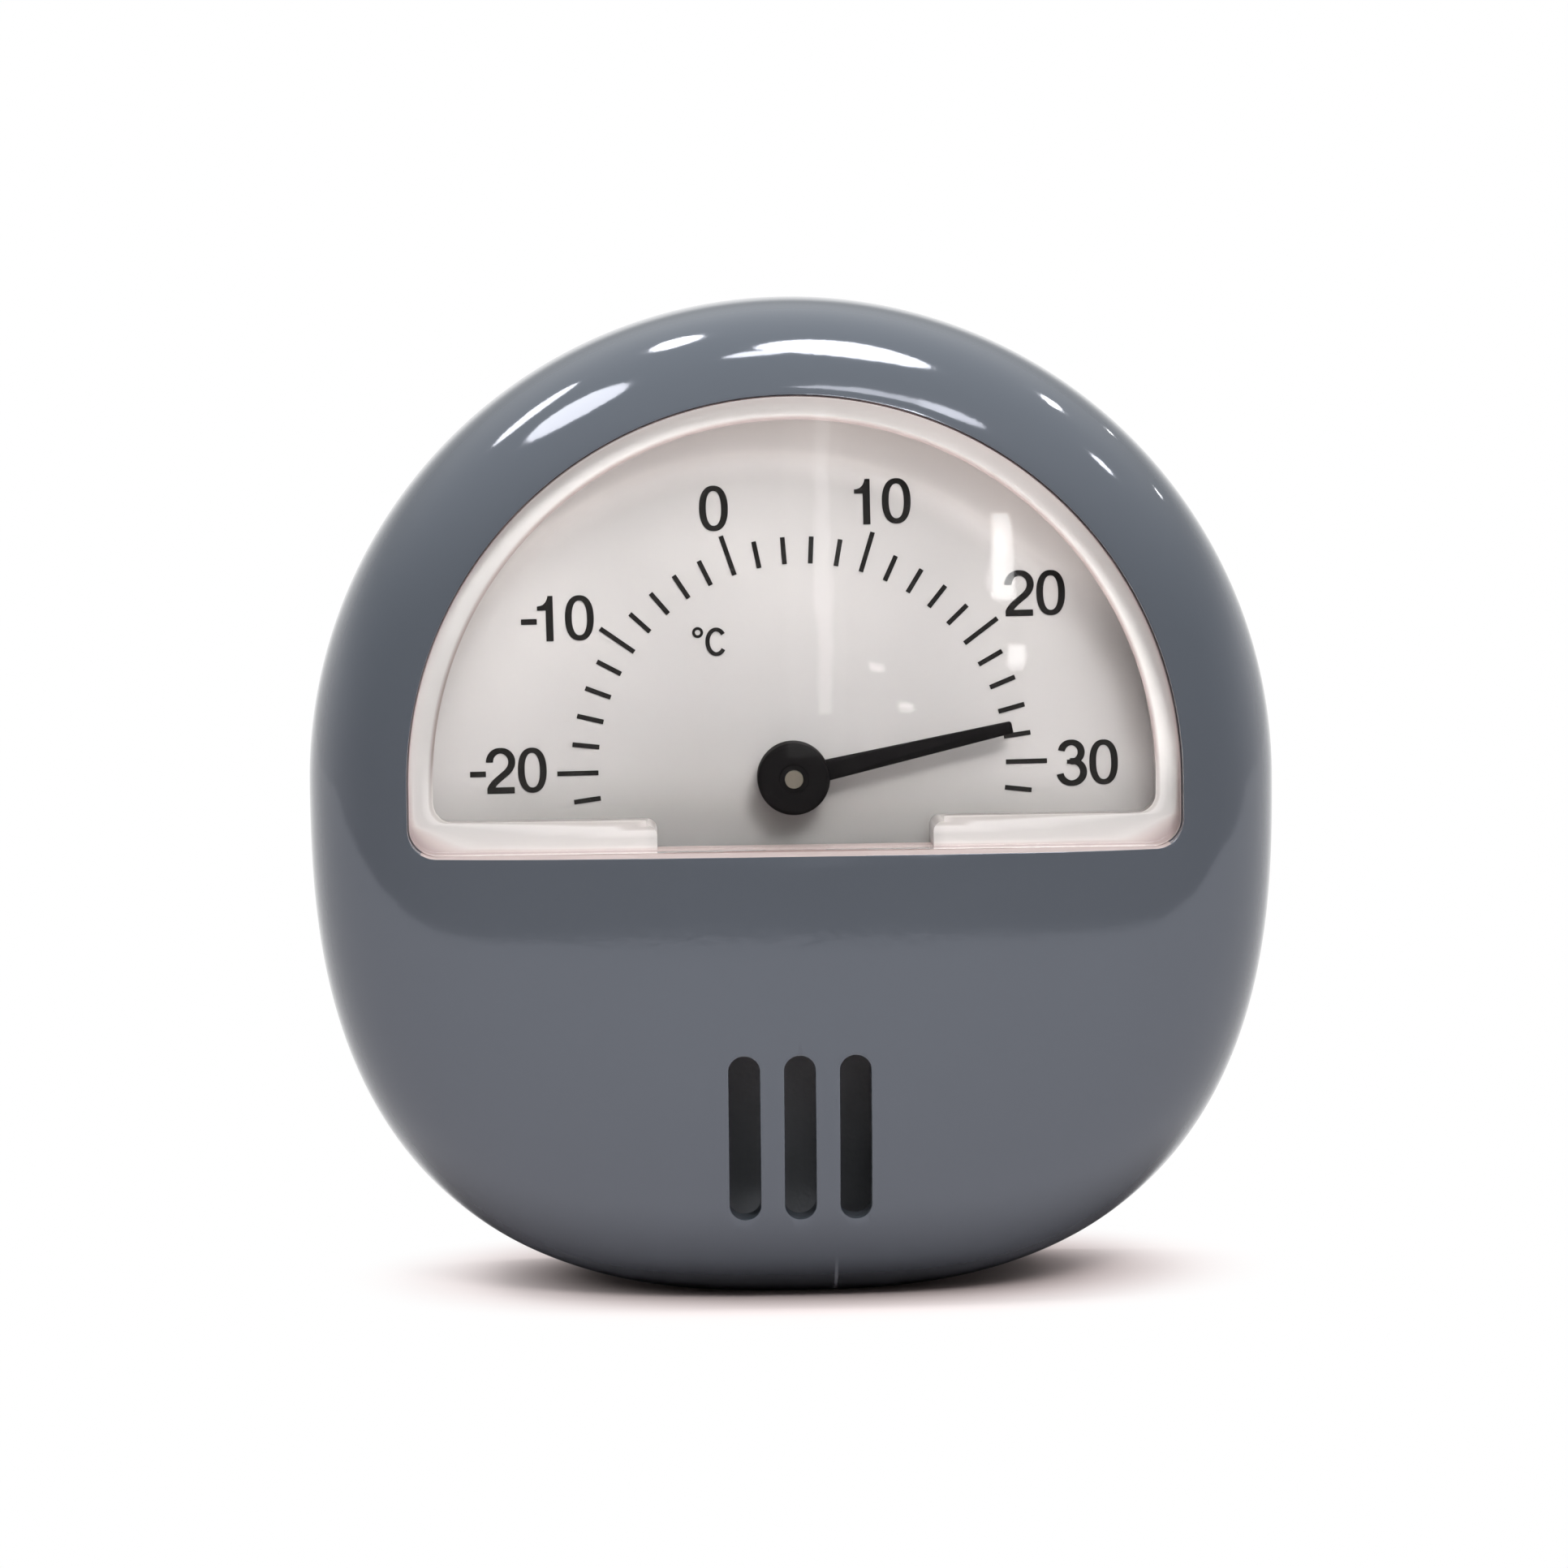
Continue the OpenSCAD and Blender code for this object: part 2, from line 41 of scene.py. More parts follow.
# The case, in millimetres. X is to the right, Y to the back, Z up.
CASE_HALF = 32.5
CASE_DROP = 34.7
CASE_LOW_POWER = 2.6
MID_Z = 34.35
AXIS_UP = 0.6
AXIS_Z = MID_Z + AXIS_UP
CROWN_Y = -12.0
WIDE_Y = 6.0
BACK_Y = 12.0
WALL = 2.0
BACK_ROUND = 0.8
DOME_POWER = 4

# The window
WINDOW_R = 25.4
WINDOW_DROP = 4.5
WINDOW_CORNER = 1.9
WINDOW_EDGE_ROUND = 0.05
COLLAR_T = 1.2
FLANGE_Y = -3.7

# The air slots
SLOT_W = 2.1
SLOT_LEN = 11.2
SLOT_PITCH = 3.65
SLOT_TOP_Z = AXIS_Z - 17.6

# The lens
SEAT = 0.08
SLIP = 0.02
LENS_FRONT_Y = -9.0
LENS_T = 1.5
LENS_WALL = 1.2
LENS_LOW_WALL = 1.7
LENS_GAP = 18.2
LENS_GAP_ROUND = 0.7
LENS_CORNER = 1.33
CARD_Y = -2.5

# The pointer and its pin
HUB_R = 2.4
HUB_FRONT_Y = -5.5
HUB_BACK_Y = -3.0
PIN_R = 0.6
POINTER_LEN = 14.9
POINTER_REST = 12.3
BLADE_ROOT_W = 1.5
BLADE_TIP_W = 0.8
BLADE_Y = -4.6
BLADE_T = 0.5

# The screws of the cover
COVER_SCREW_R = 1.0
COVER_HEAD_R = 1.9
COVER_HEAD_T = 1.2
COVER_SCREW_FRONT_Y = 3.0
COVER_SEAT_Y = 10.2
COVER_ANGLES = (225, 315)
COVER_INSET = 2.0 + 1.9 + 0.7

# The print
PRINT_DX = 0.65
PRINT_DZ = 0.55
PRINT_TURN = 0.7
INK_T = 0.05

# Where the flow line runs up from the gate
GATE_X = 2.4

# The lens as a material
CLEAR_IOR = 1.49
WALL_SHADOW = (0.9, 0.88, 0.87, 1)
# Heights over which the wall's painted light and painted glow rise
WALL_PAINTED_LIGHT_Z = (0.038, 0.06)


def outline_reach(angle):
    """Distance from the middle of the case to its outline, in mm."""
    across, up = abs(math.cos(angle)), math.sin(angle)
    if up >= 0:
        return CASE_HALF
    total = (across / CASE_HALF) ** CASE_LOW_POWER + (-up / CASE_DROP) ** CASE_LOW_POWER
    return total ** (-1 / CASE_LOW_POWER)


def in_half_moon(x, z, r, drop, corner):
    """Is a point, from the pointer's axis, in a half circle with a low part and rounded corners?"""
    if z >= 0:
        return x * x + z * z <= r * r
    over_x, over_z = abs(x) - (r - corner), -z - (drop - corner)
    if over_x > 0 and over_z > 0:
        return over_x ** 2 + over_z ** 2 <= corner ** 2
    return abs(x) <= r and z >= -drop


def half_moon_reach(angle, r, drop, corner):
    """Distance from the middle of the case to the outline of a half moon."""
    low, high = 0.0, 40.0
    for _ in range(40):
        reach = (low + high) / 2
        inside = in_half_moon(reach * math.cos(angle), reach * math.sin(angle) - AXIS_UP, r, drop,
                              corner)
        low, high = (reach, high) if inside else (low, reach)
    return low


def window_reach(angle, grow):
    """Distance from the middle of the case to the window's outline grown by grow."""
    return half_moon_reach(angle, WINDOW_R + grow, WINDOW_DROP + grow, WINDOW_CORNER + grow)


def lens_reach(angle, wall, low_wall):
    """The same to a line inside the lens, whose round and low walls differ in thickness."""
    return half_moon_reach(angle, WINDOW_R - SEAT - wall, WINDOW_DROP - SEAT - low_wall,
                           LENS_CORNER)


def dome_y(share, depth):
    """Place along Y of a dome of that depth, at a share of its outline's radius."""
    return WIDE_Y - depth * max(0.0, 1 - share ** DOME_POWER) ** (1 / DOME_POWER)


def turns(step):
    """Angles of a quarter turn in even steps, for rounded edges."""
    return [math.radians(turn) for turn in range(0, 91, step)]


def deselect():
    if bpy.context.object and bpy.context.object.mode != "OBJECT":
        bpy.ops.object.mode_set(mode="OBJECT")
    bpy.ops.object.select_all(action="DESELECT")


def take(*pieces):
    """Selects pieces and makes the first of them active."""
    deselect()
    for piece in pieces:
        piece.select_set(True)
    bpy.context.view_layer.objects.active = pieces[0]


def ring_piece(name, rings, ends):
    """A mesh grown ring by ring: a circle is set on the first ring and extruded to each next one.

    Rings are lists of (x, y, z) in mm. ends is "bridge" to join the last ring to the first, or
    "fill" to close both with a face.
    """
    deselect()
    bpy.ops.mesh.primitive_circle_add(vertices=len(rings[0]), radius=1.0)
    piece = bpy.context.object
    piece.name = piece.data.name = name
    bpy.ops.object.mode_set(mode="EDIT")
    shape = bmesh.from_edit_mesh(piece.data)
    spot = shape.verts.layers.int.new("spot")
    shape.verts.ensure_lookup_table()
    for i, v in enumerate(shape.verts):
        v[spot] = i
        v.co = Vector(rings[0][i]) * MM
    bmesh.update_edit_mesh(piece.data)
    bpy.ops.mesh.select_mode(type="VERT")
    for ring in rings[1:]:
        bpy.ops.mesh.extrude_region()
        shape = bmesh.from_edit_mesh(piece.data)
        spot = shape.verts.layers.int["spot"]
        for v in shape.verts:
            if v.select:
                v.co = Vector(ring[v[spot]]) * MM
        bmesh.update_edit_mesh(piece.data)
    bpy.ops.mesh.select_mode(type="EDGE")
    shape = bmesh.from_edit_mesh(piece.data)
    for e in shape.edges:
        e.select = e.is_boundary
    bmesh.update_edit_mesh(piece.data)
    if ends == "bridge":
        bpy.ops.mesh.bridge_edge_loops()
    else:
        bpy.ops.mesh.fill_holes(sides=0)
    bpy.ops.mesh.select_all(action="SELECT")
    bpy.ops.mesh.normals_make_consistent(inside=False)
    bpy.ops.object.mode_set(mode="OBJECT")
    piece.data.attributes.remove(piece.data.attributes["spot"])
    return piece


def settle(piece, body, material, smooth=30):
    """Gives a finished piece its shading, its body and its material."""
    take(piece)
    bpy.ops.object.transform_apply(location=True, rotation=True, scale=True)
    if smooth:
        bpy.ops.object.shade_smooth_by_angle(angle=math.radians(smooth))
    piece.data.materials.clear()
    piece.data.materials.append(material)
    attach(piece, body)


def combine(piece, tool, operation):
    """Cuts the tool out of the piece (DIFFERENCE) or makes both one solid (UNION)."""
    take(piece)
    step = piece.modifiers.new("combine", "BOOLEAN")
    step.operation = operation
    step.solver = "EXACT"
    step.object = tool
    bpy.ops.object.modifier_apply(modifier=step.name)
    bpy.data.objects.remove(tool)


def slot_tool(x, top_z, length, y0, y1, width=SLOT_W):
    """A round-ended bar along Y that cuts one upright slot."""
    deselect()
    r = width / 2
    bpy.ops.mesh.primitive_cylinder_add(
        vertices=48, radius=r * MM, depth=(y1 - y0) * MM,
        location=(x * MM, (y0 + y1) / 2 * MM, (top_z - length + r) * MM),
        rotation=(math.pi / 2, 0, 0))
    tool = bpy.context.object
    bpy.ops.object.transform_apply(location=True, rotation=True, scale=True)
    bpy.ops.object.mode_set(mode="EDIT")
    shape = bmesh.from_edit_mesh(tool.data)
    middle = (top_z - length + r) * MM
    for v in shape.verts:
        v.select = v.co.z > middle + 1e-7
    shape.select_flush_mode()
    bmesh.update_edit_mesh(tool.data)
    bpy.ops.transform.translate(value=(0, 0, (length - width) * MM))
    bpy.ops.object.mode_set(mode="OBJECT")
    return tool


def bevel_where(piece, test, width, segments=2):
    """Rounds the sharp edges whose two ends pass the test."""
    take(piece)
    bpy.ops.object.mode_set(mode="EDIT")
    bpy.ops.mesh.select_mode(type="EDGE")
    shape = bmesh.from_edit_mesh(piece.data)
    for e in shape.edges:
        sharp = len(e.link_faces) == 2 and e.calc_face_angle(0) > math.radians(35)
        e.select = sharp and all(test(v.co / MM) for v in e.verts)
    bmesh.update_edit_mesh(piece.data)
    bpy.ops.mesh.bevel(offset=width * MM, segments=segments, profile=0.5, clamp_overlap=True)
    bpy.ops.object.mode_set(mode="OBJECT")


# Nodes
def feed(tree, node, inputs):
    """Sets a node's inputs: an output is linked to them, anything else is their plain value."""
    for key, value in inputs.items():
        if isinstance(value, bpy.types.NodeSocket):
            tree.links.new(value, node.inputs[key])
        else:
            node.inputs[key].default_value = value


def add_node(tree, kind, inputs=None, **settings):
    node = tree.nodes.new(kind)
    for key, value in settings.items():
        setattr(node, key, value)
    feed(tree, node, inputs or {})
    return node


def maths(tree, operation, *values):
    return add_node(tree, "ShaderNodeMath", dict(enumerate(values)), operation=operation).outputs[0]


def eased(tree, value, low, high, at_low=0.0, at_high=1.0, way="SMOOTHSTEP"):
    """A number that runs from at_low to at_high while the value runs from low to high."""
    inputs = {"Value": value, "From Min": low, "From Max": high, "To Min": at_low,
              "To Max": at_high}
    return add_node(tree, "ShaderNodeMapRange", inputs, interpolation_type=way).outputs[0]


def scaled(tree, colour, factor):
    return add_node(tree, "ShaderNodeVectorMath", {0: colour, "Scale": factor},
                    operation="SCALE").outputs[0]


def mixed(tree, factor, first, second, kind="RGBA"):
    return add_node(tree, "ShaderNodeMix", {"Factor": factor, "A": first, "B": second},
                    data_type=kind).outputs["Result"]


def mixed_shader(tree, factor, first, second):
    return add_node(tree, "ShaderNodeMixShader", {0: factor, 1: first, 2: second}).outputs[0]


def place_on(tree):
    """A place on the object in its own coordinates, in metres."""
    return add_node(tree, "ShaderNodeTexCoord").outputs["Object"]


def split(tree, vector):
    """The outputs X, Y and Z of a vector."""
    return add_node(tree, "ShaderNodeSeparateXYZ", {0: vector}).outputs


def noise(tree, scale, detail):
    return add_node(tree, "ShaderNodeTexNoise",
                    {"Vector": place_on(tree), "Scale": scale, "Detail": detail}).outputs["Fac"]


def bumped(tree, height, strength, distance):
    return add_node(tree, "ShaderNodeBump", {"Height": height, "Strength": strength,
                                             "Distance": distance}).outputs["Normal"]


def tones(tree, value, steps):
    """Colours along a value; each step is a place from 0 to 1 and a colour."""
    ramp = add_node(tree, "ShaderNodeValToRGB", {"Fac": value})
    stops = ramp.color_ramp.elements
    for i, (place, colour) in enumerate([steps[0], steps[-1]]):
        stops[i].position, stops[i].color = place, (*colour, 1)
    for place, colour in steps[1:-1]:
        stops.new(place).color = (*colour, 1)
    return ramp.outputs["Color"]


def grain_group():
    """Fine mottling: a value round 1 for the colour, one for the roughness and a bumped normal."""
    group = bpy.data.node_groups.new("fine_grain", "ShaderNodeTree")
    for name in ("Scale", "Mottle", "Roughness", "Roughness Spread", "Bump Height"):
        group.interface.new_socket(name, in_out="INPUT", socket_type="NodeSocketFloat")
    for name, kind in (("Shade", "Float"), ("Roughness", "Float"), ("Normal", "Vector")):
        group.interface.new_socket(name, in_out="OUTPUT", socket_type="NodeSocket" + kind)
    given = add_node(group, "NodeGroupInput").outputs
    broad, fine = noise(group, 90.0, 3.0), noise(group, given["Scale"], 2.0)
    add_node(group, "NodeGroupOutput", {
        "Shade": maths(group, "MULTIPLY_ADD", maths(group, "SUBTRACT", broad, 0.5),
                       given["Mottle"], 1.0),
        "Roughness": maths(group, "MULTIPLY_ADD", maths(group, "SUBTRACT", fine, 0.5),
                           given["Roughness Spread"], given["Roughness"]),
        "Normal": bumped(group, fine, given["Bump Height"], 0.0001)})
    return group


GRAIN = grain_group()


# Materials
def new_material(name):
    material = bpy.data.materials.new(name)
    material.use_nodes = True
    tree = material.node_tree
    return material, tree, tree.nodes["Principled BSDF"]


def grain_in(tree, scale, mottle, rough, spread, bump):
    return add_node(tree, "ShaderNodeGroup", {
        "Scale": scale, "Mottle": mottle, "Roughness": rough, "Roughness Spread": spread,
        "Bump Height": bump}, node_tree=GRAIN).outputs


def grained(name, colour, rough, spread=0.05, mottle=0.06, bump=0.1, scale=900.0, metal=0.0,
            specular=0.5):
    """A material whose colour and roughness vary a little and whose surface has a fine grain."""
    material, tree, shader = new_material(name)
    grain = grain_in(tree, scale, mottle, rough, spread, bump)
    feed(tree, shader, {"Base Color": scaled(tree, colour, grain["Shade"]),
                        "Roughness": grain["Roughness"], "Normal": grain["Normal"],
                        "Metallic": metal, "Specular IOR Level": specular})
    return material


def opened(material):
    """A material's nodes, its shader and the output that colours it."""
    tree = material.node_tree
    shader = tree.nodes["Principled BSDF"]
    return tree, shader, shader.inputs["Base Color"].links[0].from_socket


def pass_shadows(tree, shader, colour):
    """Lets shadow rays through a clear or hazy material, so that the dial behind it is lit."""
    shadow = add_node(tree, "ShaderNodeLightPath").outputs["Is Shadow Ray"]
    through = add_node(tree, "ShaderNodeBsdfTransparent", {"Color": colour})
    surface = mixed_shader(tree, shadow, shader.outputs[0], through.outputs[0])
    feed(tree, tree.nodes["Material Output"], {"Surface": surface})


def clear_plastic():
    """Clear moulding with the slight waves of a thin moulded window."""
    material, tree, shader = new_material("window_clear_plastic")
    feed(tree, shader, {"Base Color": (0.98, 0.975, 0.97, 1), "Roughness": 0.015,
                        "IOR": CLEAR_IOR, "Transmission Weight": 1.0,
                        "Normal": bumped(tree, noise(tree, 170.0, 2.0), 1.0, 0.000005)})
    pass_shadows(tree, shader, (0.95, 0.945, 0.94, 1))
    return material


# Painted bands of highlight and shade across the lens's wall, in place of its reflections: up the
# round part of it, and along its low part
HIGH_WALL_PAINTED_BANDS = (
    (0.0, (0.36, 0.31, 0.3)), (0.12, (0.56, 0.53, 0.51)), (0.4, (0.5, 0.46, 0.44)),
    (0.485, (0.29, 0.235, 0.225)), (0.53, (0.31, 0.255, 0.245)), (0.6, (0.59, 0.575, 0.565)),
    (0.8, (0.63, 0.615, 0.605)), (0.93, (0.68, 0.65, 0.64)), (0.97, (0.6, 0.52, 0.51)),
    (1.0, (0.4, 0.3, 0.29)))
LOW_WALL_PAINTED_BANDS = (
    (0.0, (0.42, 0.39, 0.38)), (0.4, (0.5, 0.47, 0.455)), (0.47, (0.66, 0.63, 0.61)),
    (0.505, (0.64, 0.61, 0.59)), (0.535, (0.5, 0.47, 0.455)), (0.57, (0.54, 0.51, 0.495)),
    (0.6, (0.72, 0.705, 0.695)), (0.67, (0.68, 0.665, 0.655)), (0.74, (0.58, 0.567, 0.558)),
    (0.84, (0.59, 0.577, 0.568)), (0.9, (0.66, 0.645, 0.632)), (0.945, (0.55, 0.48, 0.47)),
    (1.0, (0.3, 0.24, 0.235)))


def hazy_plastic():
    """The same plastic in the moulding's walls: milky, with painted bands of highlight and shade
    laid out across the wall.

    The piece's own map runs from 0 at the wall's inner corner to 1 at the window's edge, and on
    the inner side of the wall from 0 down to -1 at its foot. Painted light makes the walls lighter
    towards the top and to the right, painted shade darkens the low part towards its ends, and a
    painted glow in their own tones, stronger towards the top, stands in for light carried along the
    clear walls.
    """
    material, tree, shader = new_material("window_wall_plastic")
    grain = grain_in(tree, 700.0, 0.1, 0.35, 0.15, 0.2)
    own = split(tree, add_node(tree, "ShaderNodeUVMap", uv_map="across").outputs[0])
    over_wall = eased(tree, own["X"], -1.0, 1.0, way="LINEAR")
    place = split(tree, place_on(tree))
    low_top = AXIS_Z - WINDOW_DROP + LENS_LOW_WALL
    low = eased(tree, place["Z"], (low_top + 5.5) * MM, (low_top + 1.2) * MM)
    colour = mixed(tree, low, tones(tree, over_wall, HIGH_WALL_PAINTED_BANDS),
                   tones(tree, over_wall, LOW_WALL_PAINTED_BANDS))
    # Painted light: lighter towards the top, where the case's edge shades the wall
    painted_top_light = eased(tree, place["Z"], *WALL_PAINTED_LIGHT_Z, 1.0, 1.42)
    # Painted light and shade: lighter to the right, darker to the left
    painted_side_light = eased(tree, place["X"], -0.025, 0.025, 0.74, 1.26, way="LINEAR")
    # Painted shade: the low part is darker, most at its ends
    end = eased(tree, maths(tree, "ABSOLUTE", place["X"]), (LENS_GAP / 2 + 0.1) * MM,
                (LENS_GAP / 2 + 0.9) * MM, 0.66, 0.74)
    level = maths(tree, "MULTIPLY", painted_top_light, mixed(tree, low, painted_side_light, end, "FLOAT"))
    tint = scaled(tree, colour, maths(tree, "MULTIPLY", level, grain["Shade"]))
    # Painted glow, stronger towards the top
    glow = eased(tree, place["Z"], *WALL_PAINTED_LIGHT_Z, 0.08, 0.3)
    feed(tree, shader, {"Base Color": tint, "Emission Color": scaled(tree, tint, glow),
                        "Emission Strength": 1.0, "Roughness": grain["Roughness"],
                        "Normal": grain["Normal"], "IOR": CLEAR_IOR, "Transmission Weight": 0.2})
    pass_shadows(tree, shader, WALL_SHADOW)
    return material


def edge_plastic():
    """The rounded outer edge of the window, painted pinkish brown in place of the coloured fringe of
    light along it.
    """
    material = grained("window_edge_plastic", (0.56, 0.46, 0.45), 0.6, spread=0.15, mottle=0.15,
                       bump=0.1, scale=800)
    tree, shader, _ = opened(material)
    feed(tree, shader, {"IOR": CLEAR_IOR})
    pass_shadows(tree, shader, WALL_SHADOW)
    return material


# Faint line up from the gate: from nothing to full at these distances aside and heights
FLOW_LINE_ASIDE = (0.00016, 0.00005)
FLOW_LINE_Z = (0.0036, 0.0015)
# Painted shade: the height over which the case's foot goes from dark to its own colour, where it
# meets the floor
PAINTED_FOOT_SHADE_Z = (0.0004, 0.0036)


def case_plastic():
    """Glossy plastic with painted shade at its foot, where it meets the floor, and a faint flow line
    up from the gate in front.
    """
    material = grained("case_gloss_plastic", (0.0634, 0.0734, 0.0872), 0.07, spread=0.03,
                       mottle=0.05, bump=0.03, scale=1400)
    tree, shader, tint = opened(material)
    place = split(tree, place_on(tree))
    aside = maths(tree, "ABSOLUTE", maths(tree, "SUBTRACT", place["X"], GATE_X * MM))
    line = maths(tree, "MULTIPLY", eased(tree, aside, *FLOW_LINE_ASIDE),
                 eased(tree, place["Z"], *FLOW_LINE_Z))
    in_front = maths(tree, "MULTIPLY", line, maths(tree, "LESS_THAN", place["Y"], 0.0))
    # Painted shade: the colour darkens to 0.15 of itself at the foot
    foot_shaded = scaled(tree, tint, eased(tree, place["Z"], *PAINTED_FOOT_SHADE_Z, 0.15, 1.0))
    feed(tree, shader, {"Base Color": mixed(tree, in_front, foot_shaded, (0.12, 0.135, 0.155, 1)),
                        "IOR": 1.56, "Specular Tint": (0.87, 0.89, 1.0, 1)})
    return material


def cover_material():
    """Matt moulding, with painted light on the side that faces into the case, so that the inside
    looks lit through the slots.
    """
    material = grained("cover_matt_plastic", (0.09, 0.102, 0.125), 0.5, spread=0.1, mottle=0.08,
                       bump=0.5, scale=2600)
    tree, shader, tint = opened(material)
    # Painted light: the inner side is paler
    inner = maths(tree, "LESS_THAN", split(tree, place_on(tree))["Y"], (BACK_Y - 1.0) * MM)
    feed(tree, shader, {"Base Color": mixed(tree, inner, tint, (0.42, 0.435, 0.47, 1))})
    return material


# The card's painted light and shade, in metres: the ring where painted light makes up for the shade
# the case casts on its round edge, and where painted light and shade change the tone of its sides,
# its upper part and its foot
PAINTED_RING_MIDDLE = (-0.0016, CARD_Y * MM, 0.0308)
PAINTED_RING_R = (0.0236, 0.0269)
PAINTED_RING_Z = (0.043, 0.053)
CARD_PAINTED_SIDE_X = (0.008, 0.022)
CARD_PAINTED_UPPER_Z = (0.033, 0.053)
CARD_PAINTED_FOOT_Z = (0.031, 0.036)
PALEST_TONE = 2.12


def card_material():
    """Printed card: slightly warm grey white, cloudy at the size of a fingertip.

    Painted light makes it paler towards its sides, towards its top and where the case shades its
    round edge, and painted shade makes it darker at its foot.
    """
    material = grained("dial_card_stock", (0.441, 0.4266, 0.4203), 0.55, spread=0.08, mottle=0.03,
                       bump=0.05, scale=3000, specular=0.3)
    tree, shader, tint = opened(material)
    cloud = eased(tree, noise(tree, 75.0, 1.5), 0.3, 0.7, 0.92, 1.05, way="LINEAR")
    place = place_on(tree)
    part = split(tree, place)
    reach = add_node(tree, "ShaderNodeVectorMath", {0: place, 1: PAINTED_RING_MIDDLE},
                     operation="DISTANCE").outputs["Value"]
    # Painted light over the shade the case casts on the card's round edge
    ring = maths(tree, "MULTIPLY", eased(tree, reach, *PAINTED_RING_R, 0.0, 1.25),
                 eased(tree, part["Z"], *PAINTED_RING_Z))
    # Painted light towards the top and painted shade at the foot
    painted_up_and_down = maths(tree, "MULTIPLY", eased(tree, part["Z"], *CARD_PAINTED_UPPER_Z, 0.79, 1.13),
                    eased(tree, part["Z"], *CARD_PAINTED_FOOT_Z, 0.64, 1.0))
    # Painted light towards the sides
    sides = eased(tree, maths(tree, "ABSOLUTE", part["X"]), *CARD_PAINTED_SIDE_X, 1.0, 1.19)
    painted_outwards = maths(tree, "MULTIPLY", sides, maths(tree, "ADD", ring, 1.0))
    tone = maths(tree, "MINIMUM", maths(tree, "MULTIPLY", painted_up_and_down, painted_outwards), PALEST_TONE)
    painted_light_and_shade = scaled(tree, tint, maths(tree, "MULTIPLY", cloud, tone))
    feed(tree, shader, {"Base Color": painted_light_and_shade})
    return material


shell_plastic = case_plastic()
# The side wall of the window's opening: satin, with a pale pinkish colour painted on as the dial's
# light mirrored in it
ledge_painted_reflection = grained("window_ledge_plastic", (0.3, 0.245, 0.235), 0.55, spread=0.1, mottle=0.1,
                      scale=1200)
cover_plastic = cover_material()
lens_clear = clear_plastic()
lens_hazy = hazy_plastic()
lens_edge_painted_fringe = edge_plastic()
card_stock = card_material()
print_ink = grained("dial_ink", (0.008, 0.007, 0.0065), 0.55, spread=0.1, mottle=0.3, bump=0.05,
                    scale=4000, specular=0.15)
pointer_black = grained("pointer_black", (0.0035, 0.003, 0.0032), 0.6, spread=0.1, mottle=0.2,
                        bump=0.15, scale=2500, specular=0.06)
plate_metal = grained("plate_aluminium", (0.62, 0.62, 0.63), 0.38, spread=0.15, mottle=0.1,
                      metal=1.0)
steel = grained("plated_steel", (0.56, 0.56, 0.57), 0.28, spread=0.15, mottle=0.12, metal=1.0)
pin_steel = grained("pin_ground_steel", (0.17, 0.152, 0.126), 0.45, spread=0.1, mottle=0.1,
                    bump=0.2, scale=5000, metal=1.0)
brass = grained("turned_brass", (0.78, 0.58, 0.28), 0.28, spread=0.12, mottle=0.1, metal=1.0)
bimetal = grained("bimetal_strip", (0.62, 0.52, 0.38), 0.3, spread=0.15, mottle=0.16, metal=1.0)
dark_spring = grained("dark_spring_steel", (0.16, 0.16, 0.17), 0.35, spread=0.1, mottle=0.1,
                      metal=1.0)


# The case's front
def ray_angles():
    """Angles round the case, close together where the window's outline bends or runs fast."""
    angles, angle = [], 0.0
    full = 2 * math.pi
    while angle < full - 1e-9:
        angles.append(angle)
        here = window_reach(angle, 0)
        step = math.radians(0.05)
        there = window_reach(angle + step, 0)
        run = math.hypot(there * math.cos(angle + step) - here * math.cos(angle),
                         there * math.sin(angle + step) - here * math.sin(angle)) / step
        near_corner = abs(abs(here * math.cos(angle)) - (WINDOW_R - WINDOW_CORNER / 2)) < 1.4 \
            and here * math.sin(angle) < AXIS_UP - 2.0
        longest = 0.12 if near_corner else 0.45
        angle += min(math.radians(0.9), longest / run)
    return angles


ANGLES = ray_angles()


def round_points(reach, depth):
    """One ring of points: reach and depth are functions of the angle, in mm."""
    points = []
    for a in ANGLES:
        r = reach(a)
        points.append((r * math.cos(a), depth(a), MID_Z + r * math.sin(a)))
    return points


def dome_rings(start, inset, depth, count, first=0):
    """Rings over a dome from the start line to its widest line, evenly spread along its curve."""
    rings = []
    for i in range(first, count + 1):
        points = []
        for a in ANGLES:
            full = outline_reach(a) - inset
            share = start(a) / full
            t = (1 - share ** DOME_POWER) ** (1 / DOME_POWER)
            turn0 = math.atan2(share, t)
            turn = turn0 + (math.pi / 2 - turn0) * i / count
            out, back = math.sin(turn), math.cos(turn)
            size = (out ** DOME_POWER + back ** DOME_POWER) ** (-1 / DOME_POWER)
            out, back = out * size, back * size
            points.append((full * out * math.cos(a), WIDE_Y - depth * back,
                           MID_Z + full * out * math.sin(a)))
        rings.append(points)
    return rings


def outline_ring(inset, y):
    return round_points(lambda a: outline_reach(a) - inset, lambda a: y)


